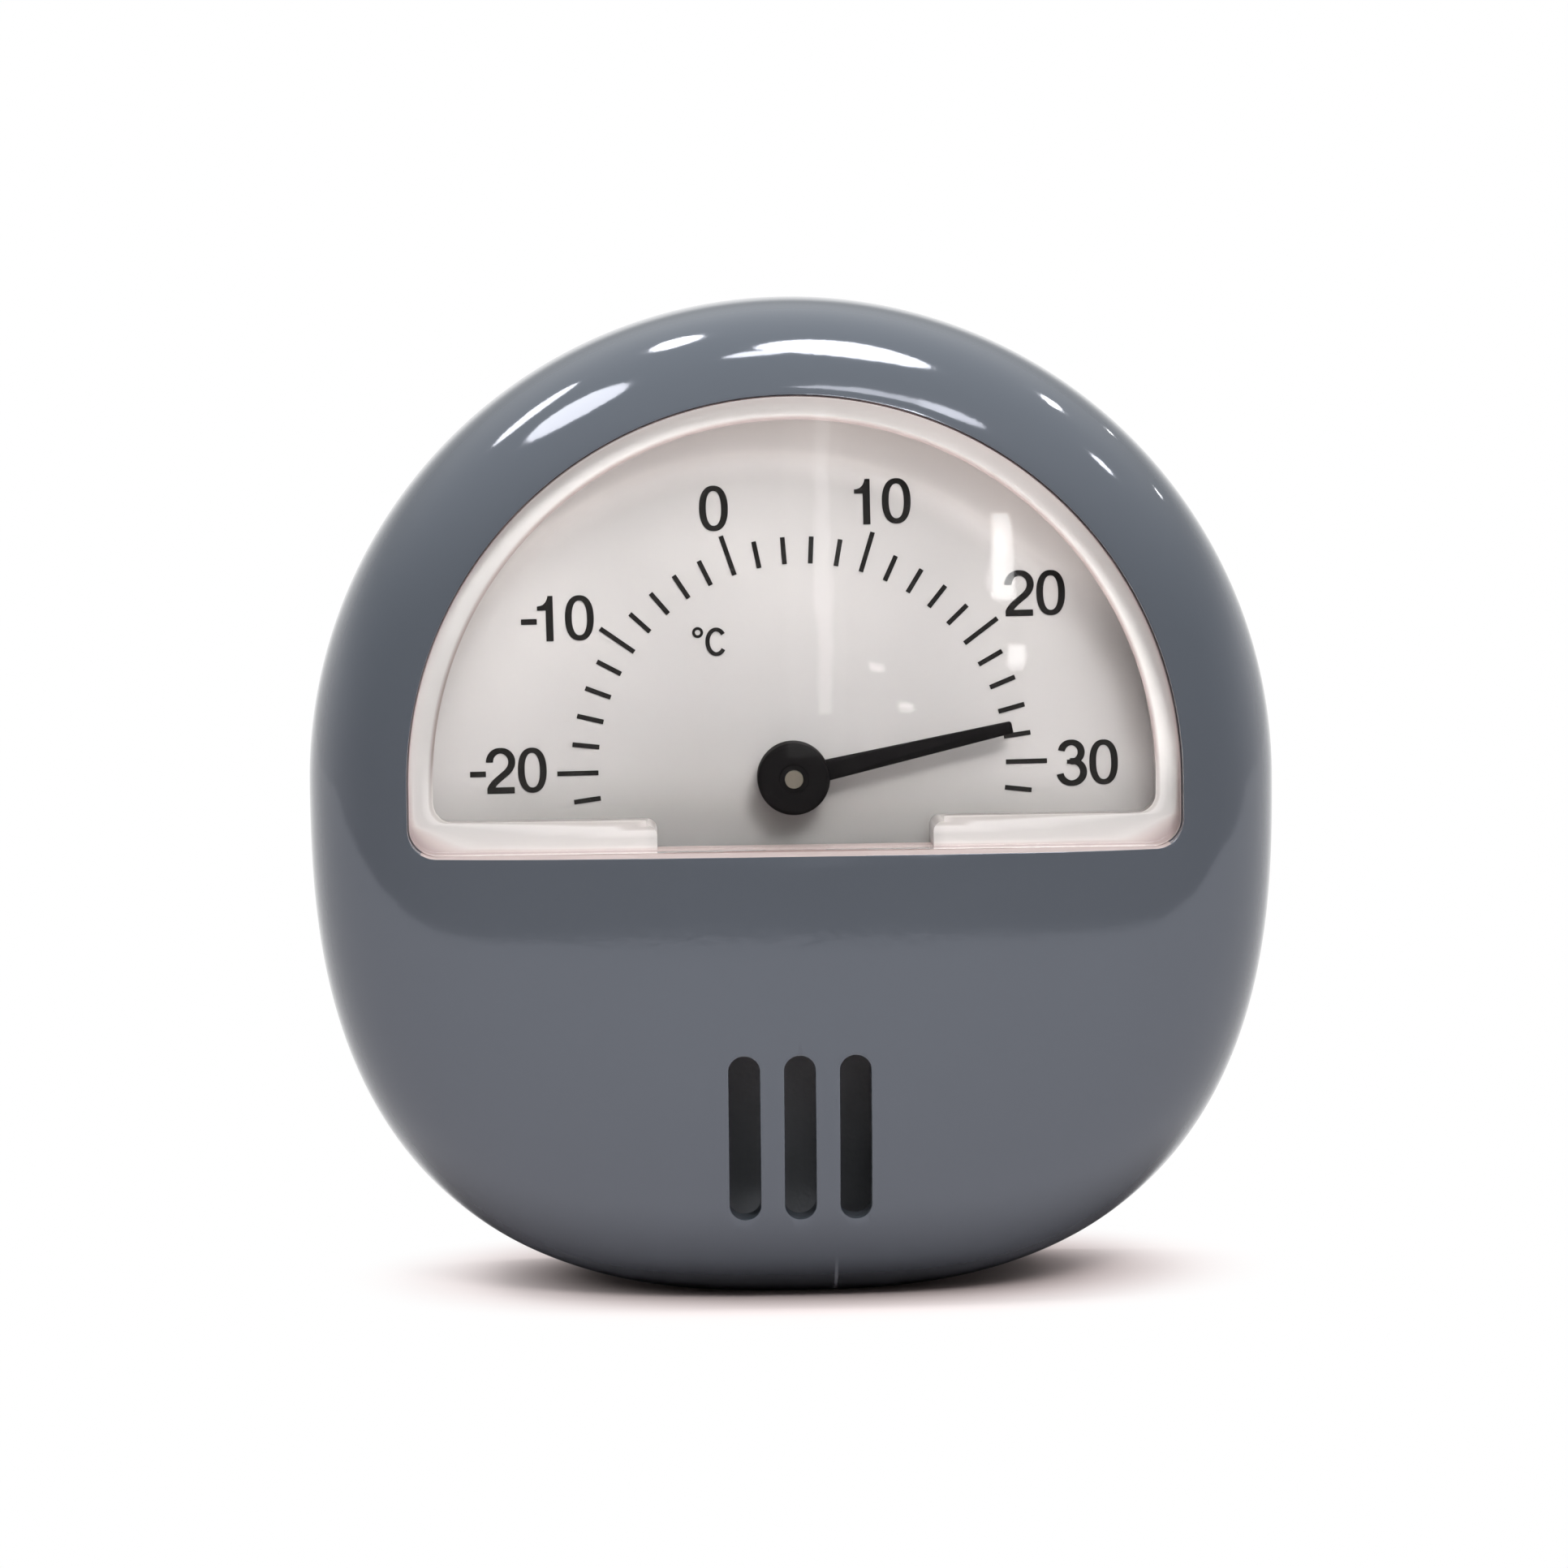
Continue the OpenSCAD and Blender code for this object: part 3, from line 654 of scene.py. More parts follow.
def case_front():
    depth = WIDE_Y - CROWN_Y
    edge = WINDOW_EDGE_ROUND
    rings = [round_points(lambda a: window_reach(a, 0), lambda a: FLANGE_Y)]
    for t in turns(15)[:-1]:
        g, sink = edge * (1 - math.cos(t)), edge * (1 - math.sin(t))
        rings.append(round_points(
            lambda a: window_reach(a, g),
            lambda a: dome_y(window_reach(a, g) / outline_reach(a), depth) + sink))
    rings += dome_rings(lambda a: window_reach(a, edge), 0, depth, 46)
    rings += [outline_ring(0, y) for y in (7.5, 9.5, BACK_Y - BACK_ROUND)]
    for t in turns(15)[1:]:
        rings.append(outline_ring(BACK_ROUND * (1 - math.cos(t)),
                                  BACK_Y - BACK_ROUND * (1 - math.sin(t))))
    rings += [outline_ring(WALL - 0.15, BACK_Y), outline_ring(WALL, BACK_Y - 0.15)]
    inner = dome_rings(lambda a: window_reach(a, COLLAR_T), WALL, depth - WALL, 16)
    rings += inner[::-1]
    rings.append(round_points(lambda a: window_reach(a, COLLAR_T), lambda a: FLANGE_Y))
    for ring in rings:
        for i, p in enumerate(ring):
            if p[2] < 0:
                ring[i] = (p[0], p[1], 0.0)
    piece = ring_piece("case_front", rings, "bridge")
    for i in range(3):
        combine(piece, slot_tool((i - 1) * SLOT_PITCH, SLOT_TOP_Z, SLOT_LEN, CROWN_Y - 2, CARD_Y),
                "DIFFERENCE")

    def on_slot_rim(p):
        r = math.hypot(p.x, p.z - MID_Z)
        outer = dome_y(r / outline_reach(math.atan2(p.z - MID_Z, p.x)), depth)
        return abs(p.x) < SLOT_PITCH + SLOT_W and p.z < SLOT_TOP_Z + 0.01 and p.y - outer < 0.05 \
            and p.z > SLOT_TOP_Z - SLOT_LEN - 0.01

    bevel_where(piece, on_slot_rim, 0.12)
    settle(piece, "case", shell_plastic, smooth=40)
    # The low side wall of the window takes the ledge material, with its painted reflection
    piece.data.materials.append(ledge_painted_reflection)
    for part in piece.data.polygons:
        middle = part.center / MM
        spot = math.atan2(middle.z - MID_Z, middle.x)
        over = math.hypot(middle.x, middle.z - MID_Z) - window_reach(spot, 0)
        if abs(over) < 0.03 and middle.z < AXIS_Z - WINDOW_DROP + 0.3:
            part.material_index = 1
    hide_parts("front_shell")


case_front()


# The lens
def lens():
    """The clear face of the window, and behind it the wall of the same moulding with its flange."""
    def inside(shift):
        return lambda a: lens_reach(a, LENS_WALL + shift, LENS_LOW_WALL + shift)

    def outside(grow):
        return lambda a: window_reach(a, grow)

    inner_y = LENS_FRONT_Y + LENS_T
    round_in, round_out, joint = 0.35, 0.15, 0.02
    rings = [round_points(outside(-SLIP), lambda a: inner_y)]
    for t in turns(15):
        rings.append(round_points(outside(-SLIP - round_out * (1 - math.cos(t))),
                                  lambda a: LENS_FRONT_Y + round_out * (1 - math.sin(t))))
    rings.append(round_points(outside(-SLIP - round_out - 0.1), lambda a: LENS_FRONT_Y))
    face = ring_piece("window_face", rings, "fill")
    settle(face, "case", lens_clear)
    face.data.materials.append(lens_edge_painted_fringe)
    for part in face.data.polygons:
        middle = part.center / MM
        spot = math.atan2(middle.z - MID_Z, middle.x)
        in_from_edge = window_reach(spot, 0) - math.hypot(middle.x, middle.z - MID_Z)
        if len(part.vertices) == 4 and in_from_edge < round_out * 0.85:
            part.material_index = 1
    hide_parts("window_lens")

    rings = []
    for t in turns(15):
        rings.append(round_points(inside(round_in * (1 - math.sin(t))),
                                  lambda a: inner_y + joint + round_in * (1 - math.cos(t))))
    back = CARD_Y - 0.01
    rings.append(round_points(inside(0), lambda a: back))
    rings.append(round_points(outside(COLLAR_T - SEAT), lambda a: back))
    rings.append(round_points(outside(COLLAR_T - SEAT), lambda a: FLANGE_Y + SEAT))
    rings.append(round_points(outside(-SLIP), lambda a: FLANGE_Y + SEAT))
    rings.append(round_points(outside(-SLIP), lambda a: inner_y + joint))
    wall = ring_piece("window_wall", rings, "bridge")
    deselect()
    low_z = AXIS_Z - WINDOW_DROP - COLLAR_T - 1
    top_z, half, corner = AXIS_Z - WINDOW_DROP + SEAT + LENS_LOW_WALL, LENS_GAP / 2, LENS_GAP_ROUND
    right = [(half, low_z)]
    for t in turns(10):
        right.append((half + corner * (1 - math.cos(t)), top_z - corner * (1 - math.sin(t))))
    right.append((half + corner, top_z + 0.5))
    profile = right + [(-x, z) for x, z in right[::-1]]
    tool = ring_piece("gap", [[(x, y, z) for x, z in profile] for y in (inner_y - 1, CARD_Y + 1)],
                      "fill")
    combine(wall, tool, "DIFFERENCE")
    bevel_where(wall, lambda p: abs(abs(p.x) - LENS_GAP / 2) < 0.001 and p.y < inner_y + 0.5, 0.2)
    settle(wall, "case", lens_hazy)
    across = wall.data.uv_layers.new(name="across")
    for loop in wall.data.loops:
        v = wall.data.vertices[loop.vertex_index].co / MM
        spot = math.atan2(v.z - MID_Z, v.x)
        near = lens_reach(spot, LENS_WALL, LENS_LOW_WALL)
        out = math.hypot(v.x, v.z - MID_Z) - near
        share = max(0.0, out) / (window_reach(spot, 0) - near)
        deep = (v.y - inner_y - round_in) / (back - inner_y - round_in)
        down = max(deep, 0.0) if out < 0.02 else 0.0
        across.data[loop.index].uv = (min(share, 1.0) - down, 0.5)


lens()


# The figures on the card: their strokes are drawn for a figure of height 1
def oval(across, up, half_w, half_h, power=2.3, count=72):
    """A rounded loop of points about a middle."""
    points = []
    for i in range(count):
        c, s = math.cos(2 * math.pi * i / count), math.sin(2 * math.pi * i / count)
        size = (abs(c) ** power + abs(s) ** power) ** (-1 / power)
        points.append((across + half_w * size * c, up + half_h * size * s))
    return points


def arc(across, up, half_w, half_h, start, end, count=40):
    """Points along part of an ellipse, from the start angle to the end angle."""
    angles = [math.radians(start + (end - start) * i / count) for i in range(count + 1)]
    return [(across + half_w * math.cos(a), up + half_h * math.sin(a)) for a in angles]


def stroke(path, thick=0.079, thin=0.062):
    """The outline of a pen stroke along a path, thinner where the path runs across."""
    left, right = [], []
    for i, (x, y) in enumerate(path):
        x0, y0 = path[max(i - 1, 0)]
        x1, y1 = path[min(i + 1, len(path) - 1)]
        run = math.hypot(x1 - x0, y1 - y0)
        nx, ny = -(y1 - y0) / run, (x1 - x0) / run
        half = thin + (thick - thin) * abs(nx)
        left.append((x + nx * half, y + ny * half))
        right.append((x - nx * half, y - ny * half))
    return left + right[::-1]


def bar(x0, y0, x1, y1):
    return [(x0, y0), (x1, y0), (x1, y1), (x0, y1)]


def drawn(sign):
    """The parts of one sign: each is a list of loops, the second of which is a hole."""
    if sign == "0":
        return [[oval(0.3175, 0.5, 0.3175, 0.5), oval(0.3175, 0.5, 0.166, 0.38)]]
    if sign == "1":
        return [[[(0, 0.68), (0.19, 0.68), (0.19, 0), (0.35, 0), (0.35, 1), (0.238, 1),
                  (0.222, 0.93), (0.185, 0.86), (0.125, 0.805), (0.06, 0.782), (0, 0.776)]]]
    if sign == "2":
        top = arc(0.31, 0.7, 0.245, 0.25, 182, -22)
        slope = [(0.505, 0.54), (0.44, 0.465), (0.34, 0.385), (0.24, 0.305), (0.155, 0.225),
                 (0.095, 0.145), (0.068, 0.06)]
        return [[stroke(top + slope)], [bar(0, 0, 0.605, 0.14)]]
    if sign == "3":
        return [[stroke(arc(0.3, 0.737, 0.22, 0.215, 172, -95))],
                [stroke(arc(0.305, 0.295, 0.26, 0.247, 98, -172))],
                [bar(0.2, 0.477, 0.33, 0.57)]]
    if sign == "-":
        return [[bar(0, 0.375, 0.35, 0.5)]]
    if sign == "C":
        return [[stroke(arc(0.37, 0.5, 0.31, 0.437, 37, 323), 0.078, 0.07)]]
    return [[oval(0.0, 0.845, 0.195, 0.195, 2), oval(0.0, 0.845, 0.095, 0.095, 2)]]


def ink_solid(loops, shift, height):
    """A thin solid of ink from the loops of one part."""
    curve = bpy.data.curves.new("ink", "CURVE")
    curve.dimensions = "2D"
    curve.fill_mode = "BOTH"
    curve.extrude = INK_T / 2 * MM
    for loop in loops:
        line = curve.splines.new("POLY")
        line.points.add(len(loop) - 1)
        for point, (x, y) in zip(line.points, loop):
            point.co = ((x + shift) * height * MM, y * height * MM, 0, 1)
        line.use_cyclic_u = True
    piece = bpy.data.objects.new("ink", curve)
    bpy.context.scene.collection.objects.link(piece)
    take(piece)
    bpy.ops.object.convert(target="MESH")
    bpy.ops.object.mode_set(mode="EDIT")
    bpy.ops.mesh.select_all(action="SELECT")
    bpy.ops.mesh.remove_doubles(threshold=1e-7)
    bpy.ops.mesh.normals_make_consistent(inside=False)
    bpy.ops.object.mode_set(mode="OBJECT")
    return piece


def figure(signs, reach, angle, height, name):
    """A printed figure upright in the dial's own frame, at a distance and angle from its middle."""
    solids = []
    for sign, shift in signs:
        parts = [ink_solid(loops, shift, height) for loops in drawn(sign)]
        for part in parts[1:]:
            combine(parts[0], part, "UNION")
        solids.append(parts[0])
    take(*solids)
    if len(solids) > 1:
        bpy.ops.object.join()
    piece = solids[0]
    piece.name = piece.data.name = name
    turn = math.radians(PRINT_TURN)
    a = math.radians(angle) + turn
    piece.rotation_euler = (math.pi / 2, 0, 0)
    bpy.ops.object.transform_apply(location=True, rotation=True, scale=True)
    corners = [v.co for v in piece.data.vertices]
    mid = Vector(((min(c.x for c in corners) + max(c.x for c in corners)) / 2, 0,
                  (min(c.z for c in corners) + max(c.z for c in corners)) / 2))
    for v in piece.data.vertices:
        v.co -= mid
    piece.rotation_euler = (0, -turn, 0)
    piece.location = ((PRINT_DX + reach * math.cos(a)) * MM, (CARD_Y - INK_T / 2) * MM,
                      (AXIS_Z + PRINT_DZ + reach * math.sin(a)) * MM)
    settle(piece, "case", print_ink, smooth=0)


for signs, reach, angle, name in (
        ((("0", 0),), 18.24, 107.5, "figure_0"),
        ((("1", 0), ("0", 0.61)), 18.5, 71.9, "figure_10"),
        ((("2", 0), ("0", 0.685)), 19.36, 35.5, "figure_20"),
        ((("3", 0), ("0", 0.695)), 19.04, -0.55, "figure_30"),
        ((("-", 0), ("1", 0.36), ("0", 0.97)), 19.1, 147.15, "figure_minus_10"),
        ((("-", 0), ("2", 0.37), ("0", 1.055)), 19.6, 179.1, "figure_minus_20")):
    figure(signs, reach, angle, 3.02, name)
figure((("o", 0), ("C", 0.28)), math.hypot(6.03, 8.56), math.degrees(math.atan2(8.56, -6.03)),
       1.88, "figure_unit")


# The pointer
def turned_rings(profile, x=0.0, z=AXIS_Z, count=64):
    """Rings for a turned piece along Y from a profile of (radius, y)."""
    around = [2 * math.pi * i / count for i in range(count)]
    return [[(x + r * math.cos(t), y, z + r * math.sin(t)) for t in around] for r, y in profile]


def pointer():
    hole = PIN_R + 0.01
    edge, back_edge = 0.3, 0.12
    profile = [(hole, HUB_BACK_Y), (HUB_R - back_edge, HUB_BACK_Y), (HUB_R, HUB_BACK_Y - back_edge)]
    for t in turns(15):
        profile.append((HUB_R - edge * (1 - math.cos(t)), HUB_FRONT_Y + edge * (1 - math.sin(t))))
    profile += [(1.0, HUB_FRONT_Y), (0.93, HUB_FRONT_Y + 0.06), (0.75, HUB_FRONT_Y + 0.06),
                (hole + 0.03, HUB_FRONT_Y + 0.03), (hole, HUB_FRONT_Y + 0.07)]
    hub = ring_piece("pointer_with_hub", turned_rings(profile), "bridge")

    deselect()
    start = 1.2
    bpy.ops.mesh.primitive_cube_add(size=1)
    blade = bpy.context.object
    turn = math.radians(POINTER_REST)
    for v in blade.data.vertices:
        at_tip = v.co.x > 0
        reach = POINTER_LEN if at_tip else start
        share = reach / POINTER_LEN
        half = (BLADE_ROOT_W + (BLADE_TIP_W - BLADE_ROOT_W) * share) / 2
        side = half if v.co.z > 0 else -half
        y = BLADE_Y if v.co.y < 0 else BLADE_Y + BLADE_T
        v.co = Vector((reach * math.cos(turn) - side * math.sin(turn), y,
                       AXIS_Z + reach * math.sin(turn) + side * math.cos(turn))) * MM
    tip = Vector((POINTER_LEN * math.cos(turn), 0, AXIS_Z + POINTER_LEN * math.sin(turn)))

    def at_tip_corner(p):
        return math.hypot(p.x - tip.x, p.z - tip.z) < BLADE_TIP_W

    bevel_where(blade, at_tip_corner, 0.12, segments=3)
    bevel_where(blade, lambda p: p.y < BLADE_Y + 0.01, 0.1, segments=2)
    combine(hub, blade, "UNION")
    settle(hub, "pointer_assembly", pointer_black, smooth=35)
    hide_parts("pointer")


pointer()


# The back: the cover with its edges broken, and its two cross-headed screws
def finished_copy(node, name, width, body, material):
    """A copy of a solid whose triangles are merged and whose sharp edges get a small rounding."""
    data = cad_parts[node].data.copy()
    piece = bpy.data.objects.new(name, data)
    data.name = name
    bpy.context.scene.collection.objects.link(piece)
    take(piece)
    bpy.ops.object.mode_set(mode="EDIT")
    bpy.ops.mesh.select_all(action="SELECT")
    bpy.ops.mesh.remove_doubles(threshold=1e-6)
    bpy.ops.mesh.dissolve_limited(angle_limit=math.radians(0.5))
    bpy.ops.mesh.normals_make_consistent(inside=False)
    bpy.ops.object.mode_set(mode="OBJECT")
    step = piece.modifiers.new("edges", "BEVEL")
    step.width = width * MM
    step.segments = 2
    step.limit_method = "ANGLE"
    step.angle_limit = math.radians(40)
    step.use_clamp_overlap = True
    bpy.ops.object.modifier_apply(modifier=step.name)
    settle(piece, body, material)
    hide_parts(node)


finished_copy("back_cover", "back_cover_moulding", 0.25, "case", cover_plastic)


def cover_screw(angle):
    a = math.radians(angle)
    reach = outline_reach(a) - COVER_INSET
    x, z = reach * math.cos(a), MID_Z + reach * math.sin(a)
    head_back = COVER_SEAT_Y + COVER_HEAD_T
    root, pitch = COVER_SCREW_R * 0.76, 0.72
    profile = [(0.25, COVER_SCREW_FRONT_Y), (COVER_SCREW_R * 0.7, COVER_SCREW_FRONT_Y + 0.5)]
    y = COVER_SCREW_FRONT_Y + 0.7
    while y < COVER_SEAT_Y - 0.8:
        profile += [(root, y), (COVER_SCREW_R * 0.98, y + 0.3), (root, y + 0.6)]
        y += pitch
    profile += [(COVER_SCREW_R * 0.9, COVER_SEAT_Y - 0.1), (COVER_SCREW_R, COVER_SEAT_Y),
                (COVER_HEAD_R - 0.08, COVER_SEAT_Y), (COVER_HEAD_R, COVER_SEAT_Y + 0.1)]
    for t in turns(10):
        profile.append((0.3 + (COVER_HEAD_R - 0.3) * math.cos(t),
                        COVER_SEAT_Y + 0.35 + (COVER_HEAD_T - 0.35) * math.sin(t)))
    screw = ring_piece("cover_screw", turned_rings(profile, x, z, 48), "fill")
    for turn in (20, 110):
        deselect()
        bpy.ops.mesh.primitive_cube_add(size=1)
        tool = bpy.context.object
        way = math.radians(turn + angle)
        for v in tool.data.vertices:
            deep = v.co.y < 0
            half_long = 0.35 if deep else 1.15
            half_wide = 0.14 if deep else 0.26
            along = half_long if v.co.x > 0 else -half_long
            over = half_wide if v.co.z > 0 else -half_wide
            v.co = Vector((x + along * math.cos(way) - over * math.sin(way),
                           head_back - 0.9 if deep else head_back + 0.05,
                           z + along * math.sin(way) + over * math.cos(way))) * MM
        combine(screw, tool, "DIFFERENCE")
    return screw


def cover_screws():
    screws = [cover_screw(angle) for angle in COVER_ANGLES]
    take(*screws)
    bpy.ops.object.join()
    screws[0].name = screws[0].data.name = "cover_screw_pair"
    settle(screws[0], "case", steel, smooth=35)
    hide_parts("cover_screws")


cover_screws()


# Materials of the pieces that stay as they are
for node, material in (("dial_card", card_stock), ("scale_marks", print_ink),
                       ("dial_plate", plate_metal), ("dial_screws", steel),
                       ("front_bush", brass), ("movement_bridge", steel),
                       ("bridge_screws", steel), ("rear_bush", brass), ("setting_lever", steel),
                       ("coil_post", brass), ("bimetal_coil", bimetal), ("coil_collet", brass),
                       ("arbor", pin_steel), ("arbor_washer", steel), ("arbor_clip", dark_spring)):
    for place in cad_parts[node].material_slots:
        place.material = material


# The stage, with places and half lengths on the floor in metres
FOOT_MIDDLE = (0.001, 0.005, 0)
FLOOR_NEAR = (0.033, 0.02)
FLOOR_NEAR_MIRRORED = (0.033, 0.017)
# Painted shadow: the middle and half lengths of the oval in which the floor's colour is darker and
# warmer
PAINTED_SHADOW_MIDDLE = (0.003, 0.006, 0)
PAINTED_SHADOW_HALF = (0.024, 0.0117)


def seen_by_view(tree, ray):
    """1 for camera, glossy and transmission rays, which see the white background."""
    first = maths(tree, "MAXIMUM", ray["Is Camera Ray"], ray["Is Glossy Ray"])
    return maths(tree, "MAXIMUM", first, ray["Is Transmission Ray"])


def floor_material():
    """A pale, slightly warm floor that goes over into the white background away from the object,
    with a painted warm shadow round the foot.
    """
    material, tree, shader = new_material("floor_white")
    place = place_on(tree)
    ray = add_node(tree, "ShaderNodeLightPath").outputs

    def outside(middle, half, low, high):
        """0 inside an oval of low times the half lengths and 1 outside one of high times them."""
        step = add_node(tree, "ShaderNodeVectorMath", {0: place, 1: middle}, operation="SUBTRACT")
        step = add_node(tree, "ShaderNodeVectorMath",
                        {0: step.outputs[0], 1: (1 / half[0], 1 / half[1], 0)}, operation="MULTIPLY")
        step = add_node(tree, "ShaderNodeVectorMath", {0: step.outputs[0]}, operation="LENGTH")
        return eased(tree, step.outputs["Value"], low, high)

    far = outside(FOOT_MIDDLE, FLOOR_NEAR, 0.42, 1.0)
    far_mirrored = outside(FOOT_MIDDLE, FLOOR_NEAR_MIRRORED, 0.7, 1.3)
    # Painted shadow: the floor's colour is darker and warmer in an oval round the foot
    painted_contact_shadow = outside(PAINTED_SHADOW_MIDDLE, PAINTED_SHADOW_HALF, 0.6, 1.2)
    painted_shadow_colour = mixed(tree, painted_contact_shadow, (0.5, 0.41, 0.4, 1), (0.78, 0.675, 0.665, 1))
    # Painted shade in reflections: glossy rays see the floor near-black, except where it turns white
    # farther out
    painted_dark_in_reflections = mixed(tree, ray["Is Glossy Ray"], painted_shadow_colour, (0.05, 0.045, 0.045, 1))
    feed(tree, shader, {"Base Color": painted_dark_in_reflections, "Roughness": 0.7, "Specular IOR Level": 0.1})
    white = maths(tree, "MAXIMUM", maths(tree, "MULTIPLY", ray["Is Camera Ray"], far),
                  maths(tree, "MULTIPLY", seen_by_view(tree, ray), far_mirrored))
    # Painted shadow tint: where the floor is not yet white, its glow turns warm pink near the foot
    near = maths(tree, "MULTIPLY", maths(tree, "SUBTRACT", 1.0, far), ray["Is Camera Ray"])
    glow = add_node(tree, "ShaderNodeEmission",
                    {"Color": mixed(tree, near, (1, 1, 1, 1), (0.95, 0.82, 0.81, 1))})
    surface = mixed_shader(tree, white, shader.outputs[0], glow.outputs[0])
    feed(tree, tree.nodes["Material Output"], {"Surface": surface})
    return material


# The front edge of the floor, in mm: the case mirrors it as the lower edge of its dark band
FLOOR_FRONT = ((-537, 174), (-317, -21), (-227, -75), (-154, -98), (-105, -110), (-81, -121),
               (-58, -138), (-36, -158), (-9, -186), (5, -192), (17, -186), (42, -160),
               (69, -134), (99, -110), (149, -96), (233, -79), (369, 31), (560, 190))
FLOOR_BACK = ((800, 1200), (-800, 1200))


def stage():
    """A sheet of pale card."""
    deselect()
    corners = FLOOR_FRONT + FLOOR_BACK
    bpy.ops.mesh.primitive_circle_add(vertices=len(corners), radius=1, fill_type="NGON")
    floor = bpy.context.object
    floor.name = "floor"
    for v, (x, y) in zip(floor.data.vertices, corners):
        v.co = Vector((x, y, 0)) * MM
    bpy.ops.object.mode_set(mode="EDIT")
    bpy.ops.mesh.select_all(action="SELECT")
    bpy.ops.mesh.normals_make_consistent(inside=False)
    shape = bmesh.from_edit_mesh(floor.data)
    if shape.faces[:][0].normal.z < 0:
        bpy.ops.mesh.flip_normals()
    bpy.ops.object.mode_set(mode="OBJECT")
    floor.data.materials.append(floor_material())


stage()


def sky():
    """A dim room in front and a white background behind, which reflections show too."""
    world = bpy.data.worlds.new("studio")
    bpy.context.scene.world = world
    world.use_nodes = True
    tree = world.node_tree
    tree.nodes.clear()
    way = split(tree, add_node(tree, "ShaderNodeTexCoord").outputs["Generated"])
    ray = add_node(tree, "ShaderNodeLightPath").outputs
    behind = eased(tree, way["Y"], -0.5, 0.7, 0.015, 0.9)
    level = eased(tree, way["Z"], 0.1, 0.45, 1.0, 0.3)
    overhead = eased(tree, way["Z"], 0.2, 0.75, 0.0, 0.75)
    lit = maths(tree, "MULTIPLY_ADD", behind, level, overhead)
    room = add_node(tree, "ShaderNodeBackground", {"Color": (1, 1, 1, 1), "Strength": lit})
    white = add_node(tree, "ShaderNodeBackground", {"Color": (1, 1, 1, 1), "Strength": 1.0})
    mirrored = maths(tree, "MULTIPLY", seen_by_view(tree, ray), eased(tree, way["Y"], 0.93, 0.99))
    seen = maths(tree, "MAXIMUM", mirrored, ray["Is Camera Ray"])
    add_node(tree, "ShaderNodeOutputWorld",
             {"Surface": mixed_shader(tree, seen, room.outputs[0], white.outputs[0])})


sky()

# The lamps
CEILING = 600.0


def panel(name, place, aim, size, radiance, turn=0.0, shape="RECTANGLE"):
    """A soft lamp at a place in mm that faces the aim; 1 is as bright as a white sky."""
    lamp = bpy.data.lights.new(name, "AREA")
    lamp.shape = shape
    lamp.size, lamp.size_y = size[0] * MM, size[1] * MM
    area = lamp.size * lamp.size_y * (math.pi / 4 if shape == "ELLIPSE" else 1)
    lamp.energy = math.pi * area * radiance
    holder = bpy.data.objects.new(name, lamp)
    bpy.context.scene.collection.objects.link(holder)
    holder.location = Vector(place) * MM
    way = (Vector(aim) - Vector(place)).normalized()
    facing = way.to_track_quat("-Z", "Y").to_matrix().to_4x4()
    holder.rotation_euler = (facing @ Matrix.Rotation(math.radians(turn), 4, "Z")).to_euler()


def ceiling_lamp(name, x0, x1, y0, y1, radiance, turn=0.0, shape="ELLIPSE"):
    """A lamp flat on the ceiling; its sides are given as shares of the height over the case."""
    x, y = (x0 + x1) / 2 * CEILING, (y0 + y1) / 2 * CEILING - 8
    z = CEILING + 63
    panel(name, (x, y, z), (x, y + 0.001, 0), ((x1 - x0) * CEILING, (y1 - y0) * CEILING),
          radiance, turn, shape)


# Each highlight on the top of the case is one lamp on the ceiling
ceiling_lamp("ceiling_main", -0.06, 0.41, -0.29, 0.01, 22)
ceiling_lamp("ceiling_main_end", -0.14, 0.02, -0.29, -0.2, 18)
ceiling_lamp("ceiling_small_left", -0.33, -0.19, 0.18, 0.42, 22)
ceiling_lamp("ceiling_front_strip", 0.04, 0.44, -0.93, -0.8, 8, 6)
ceiling_lamp("ceiling_front_end", 0.38, 0.66, -0.93, -0.77, 12, -8)
ceiling_lamp("ceiling_left_wide", -0.83, -0.42, -0.45, -0.1, 15)
ceiling_lamp("ceiling_left_thin", -0.96, -0.56, 0.15, 0.34, 15, 12)
ceiling_lamp("ceiling_right_small", 0.79, 0.89, 0.42, 0.62, 20)
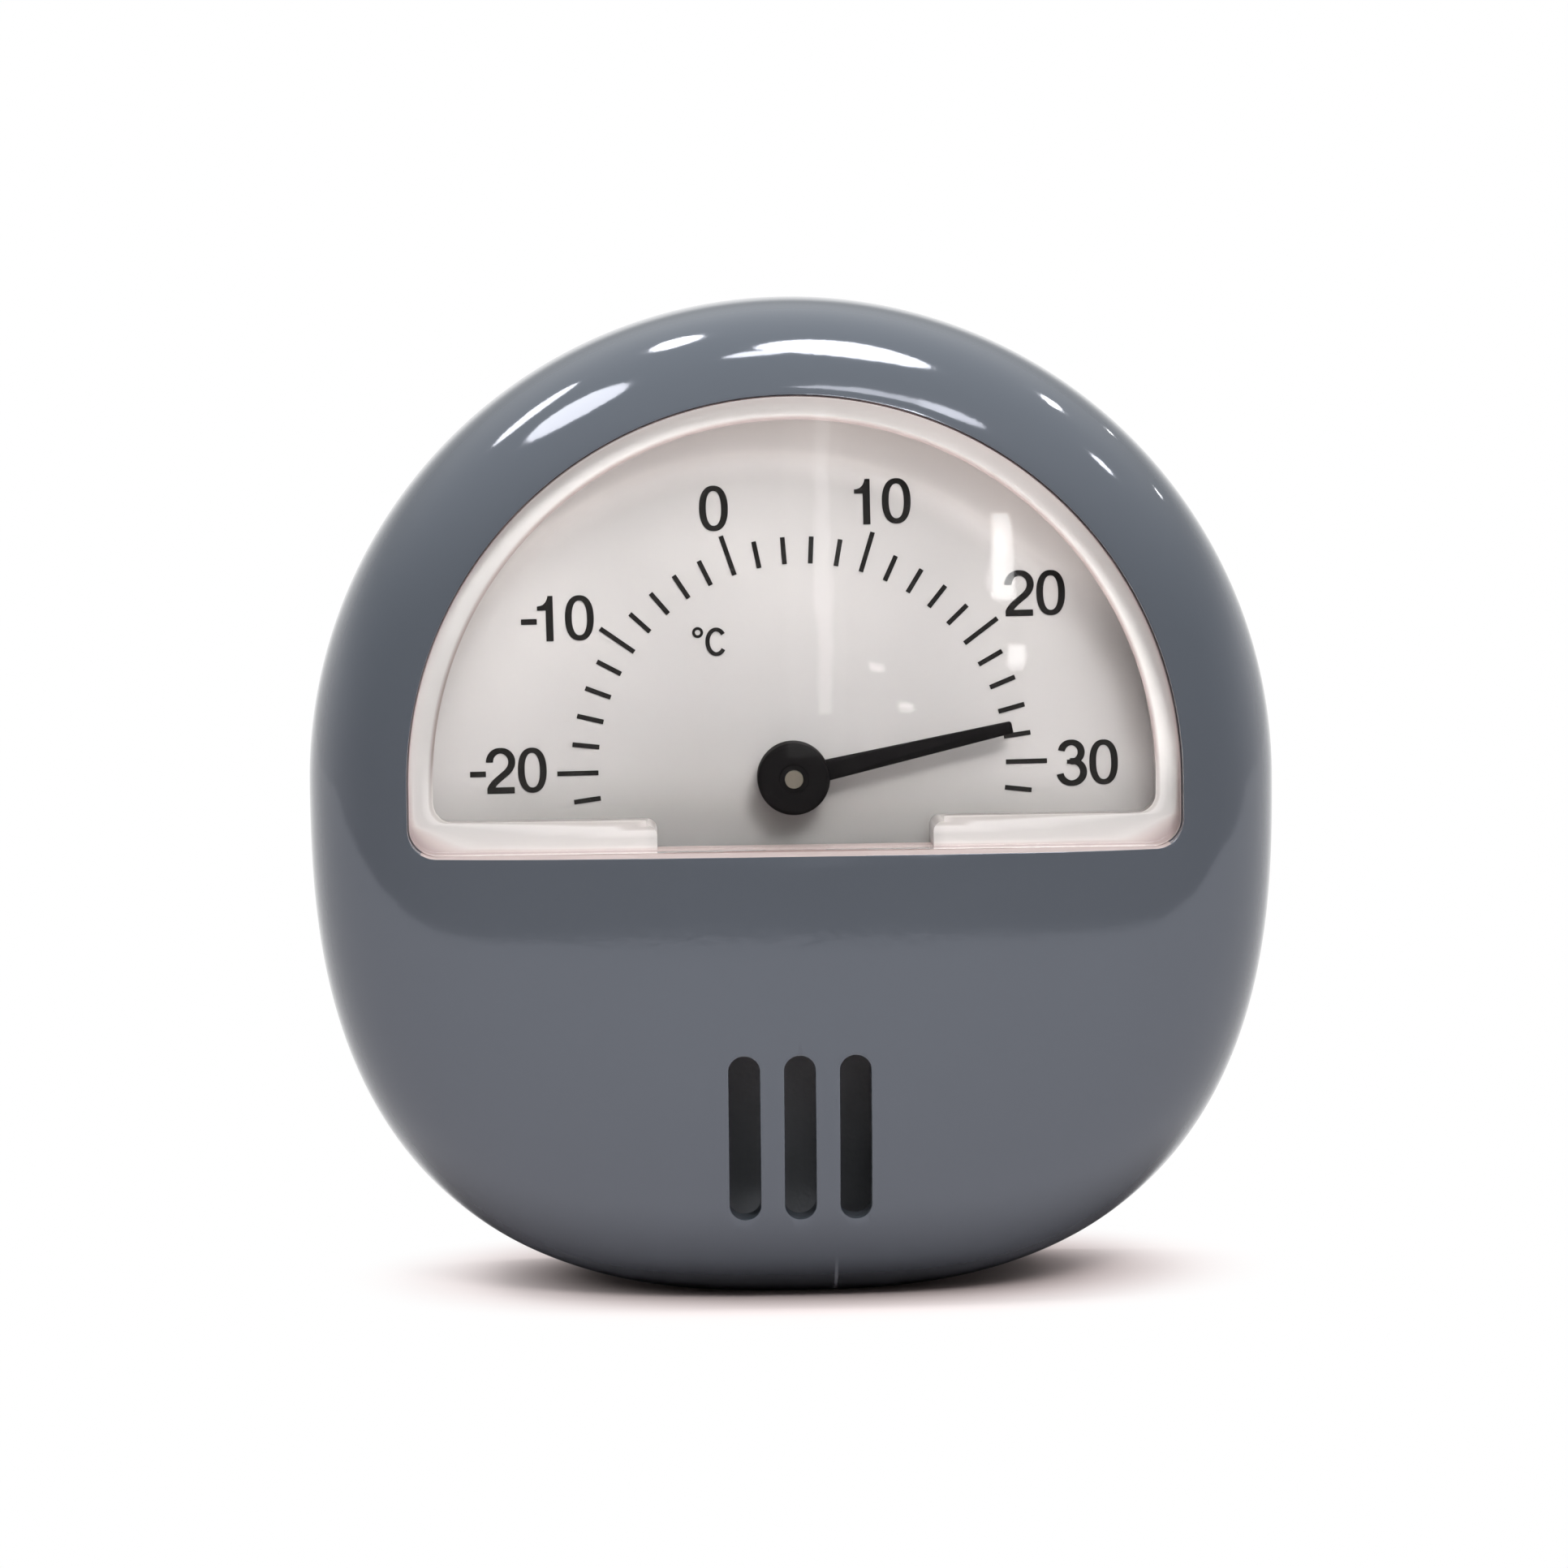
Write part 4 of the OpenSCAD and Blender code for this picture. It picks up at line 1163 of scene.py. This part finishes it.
ceiling_lamp("ceiling_right_strip", 1.1, 1.27, -0.07, 0.04, 20)
ceiling_lamp("ceiling_right_dot", 1.18, 1.22, 1.62, 1.72, 16, 0, "RECTANGLE")
ceiling_lamp("ceiling_far_dot", 1.6, 1.68, 1.22, 1.34, 14, 0, "RECTANGLE")

# Two lamps light the dial, and each streak or spot in the flat lens is a small lamp in front
for name, place, size, radiance in (
        ("high_fill", (110, -530, 385), (150, 130), 42),
        ("low_fill", (20, -560, 160), (320, 176), 1.95),
        ("streak_lamp", (18.2, -500, 28), (2.4, 50), 0.8),
        ("streak_haze", (17, -500, 26), (10, 60), 0.15),
        ("right_streak_lamp", (48, -500, 29), (3.4, 14), 5.0),
        ("spot_lamp", (27, -500, 11), (3, 1.5), 2.0),
        ("second_spot_lamp", (32, -500, 4), (2.5, 1.5), 3.0),
        ("third_spot_lamp", (50, -500, 12), (2.5, 3), 4.0)):
    panel(name, place, (0, 0, 45), size, radiance)


# The photograph's view: its distance in mm, its angles in degrees and where it aims
VIEW_AWAY = 330.0
VIEW_UP, VIEW_SIDE, VIEW_ROLL = 5.0, -1.5, -0.73
VIEW_SHIFT = (-0.52, 0, -0.22)


def photo_camera():
    scene = bpy.context.scene
    data = bpy.data.cameras.new("camera")
    data.sensor_width = 36.0
    data.lens = 112.5
    data.clip_start, data.clip_end = 0.01, 20.0
    camera = bpy.data.objects.new("camera", data)
    scene.collection.objects.link(camera)
    scene.camera = camera
    up, side, roll = (math.radians(turn) for turn in (VIEW_UP, VIEW_SIDE, VIEW_ROLL))
    back = Vector((math.sin(side) * math.cos(up), -math.cos(side) * math.cos(up), math.sin(up)))
    centre = Vector((0, 0, MID_Z))
    camera.location = (centre + VIEW_AWAY * back) * MM
    aim = centre + Vector(VIEW_SHIFT)
    way = (aim * MM - camera.location).normalized()
    turn = way.to_track_quat("-Z", "Y").to_matrix().to_4x4()
    camera.rotation_euler = (turn @ Matrix.Rotation(roll, 4, "Z")).to_euler()


photo_camera()
bpy.context.scene.view_settings.view_transform = "Standard"
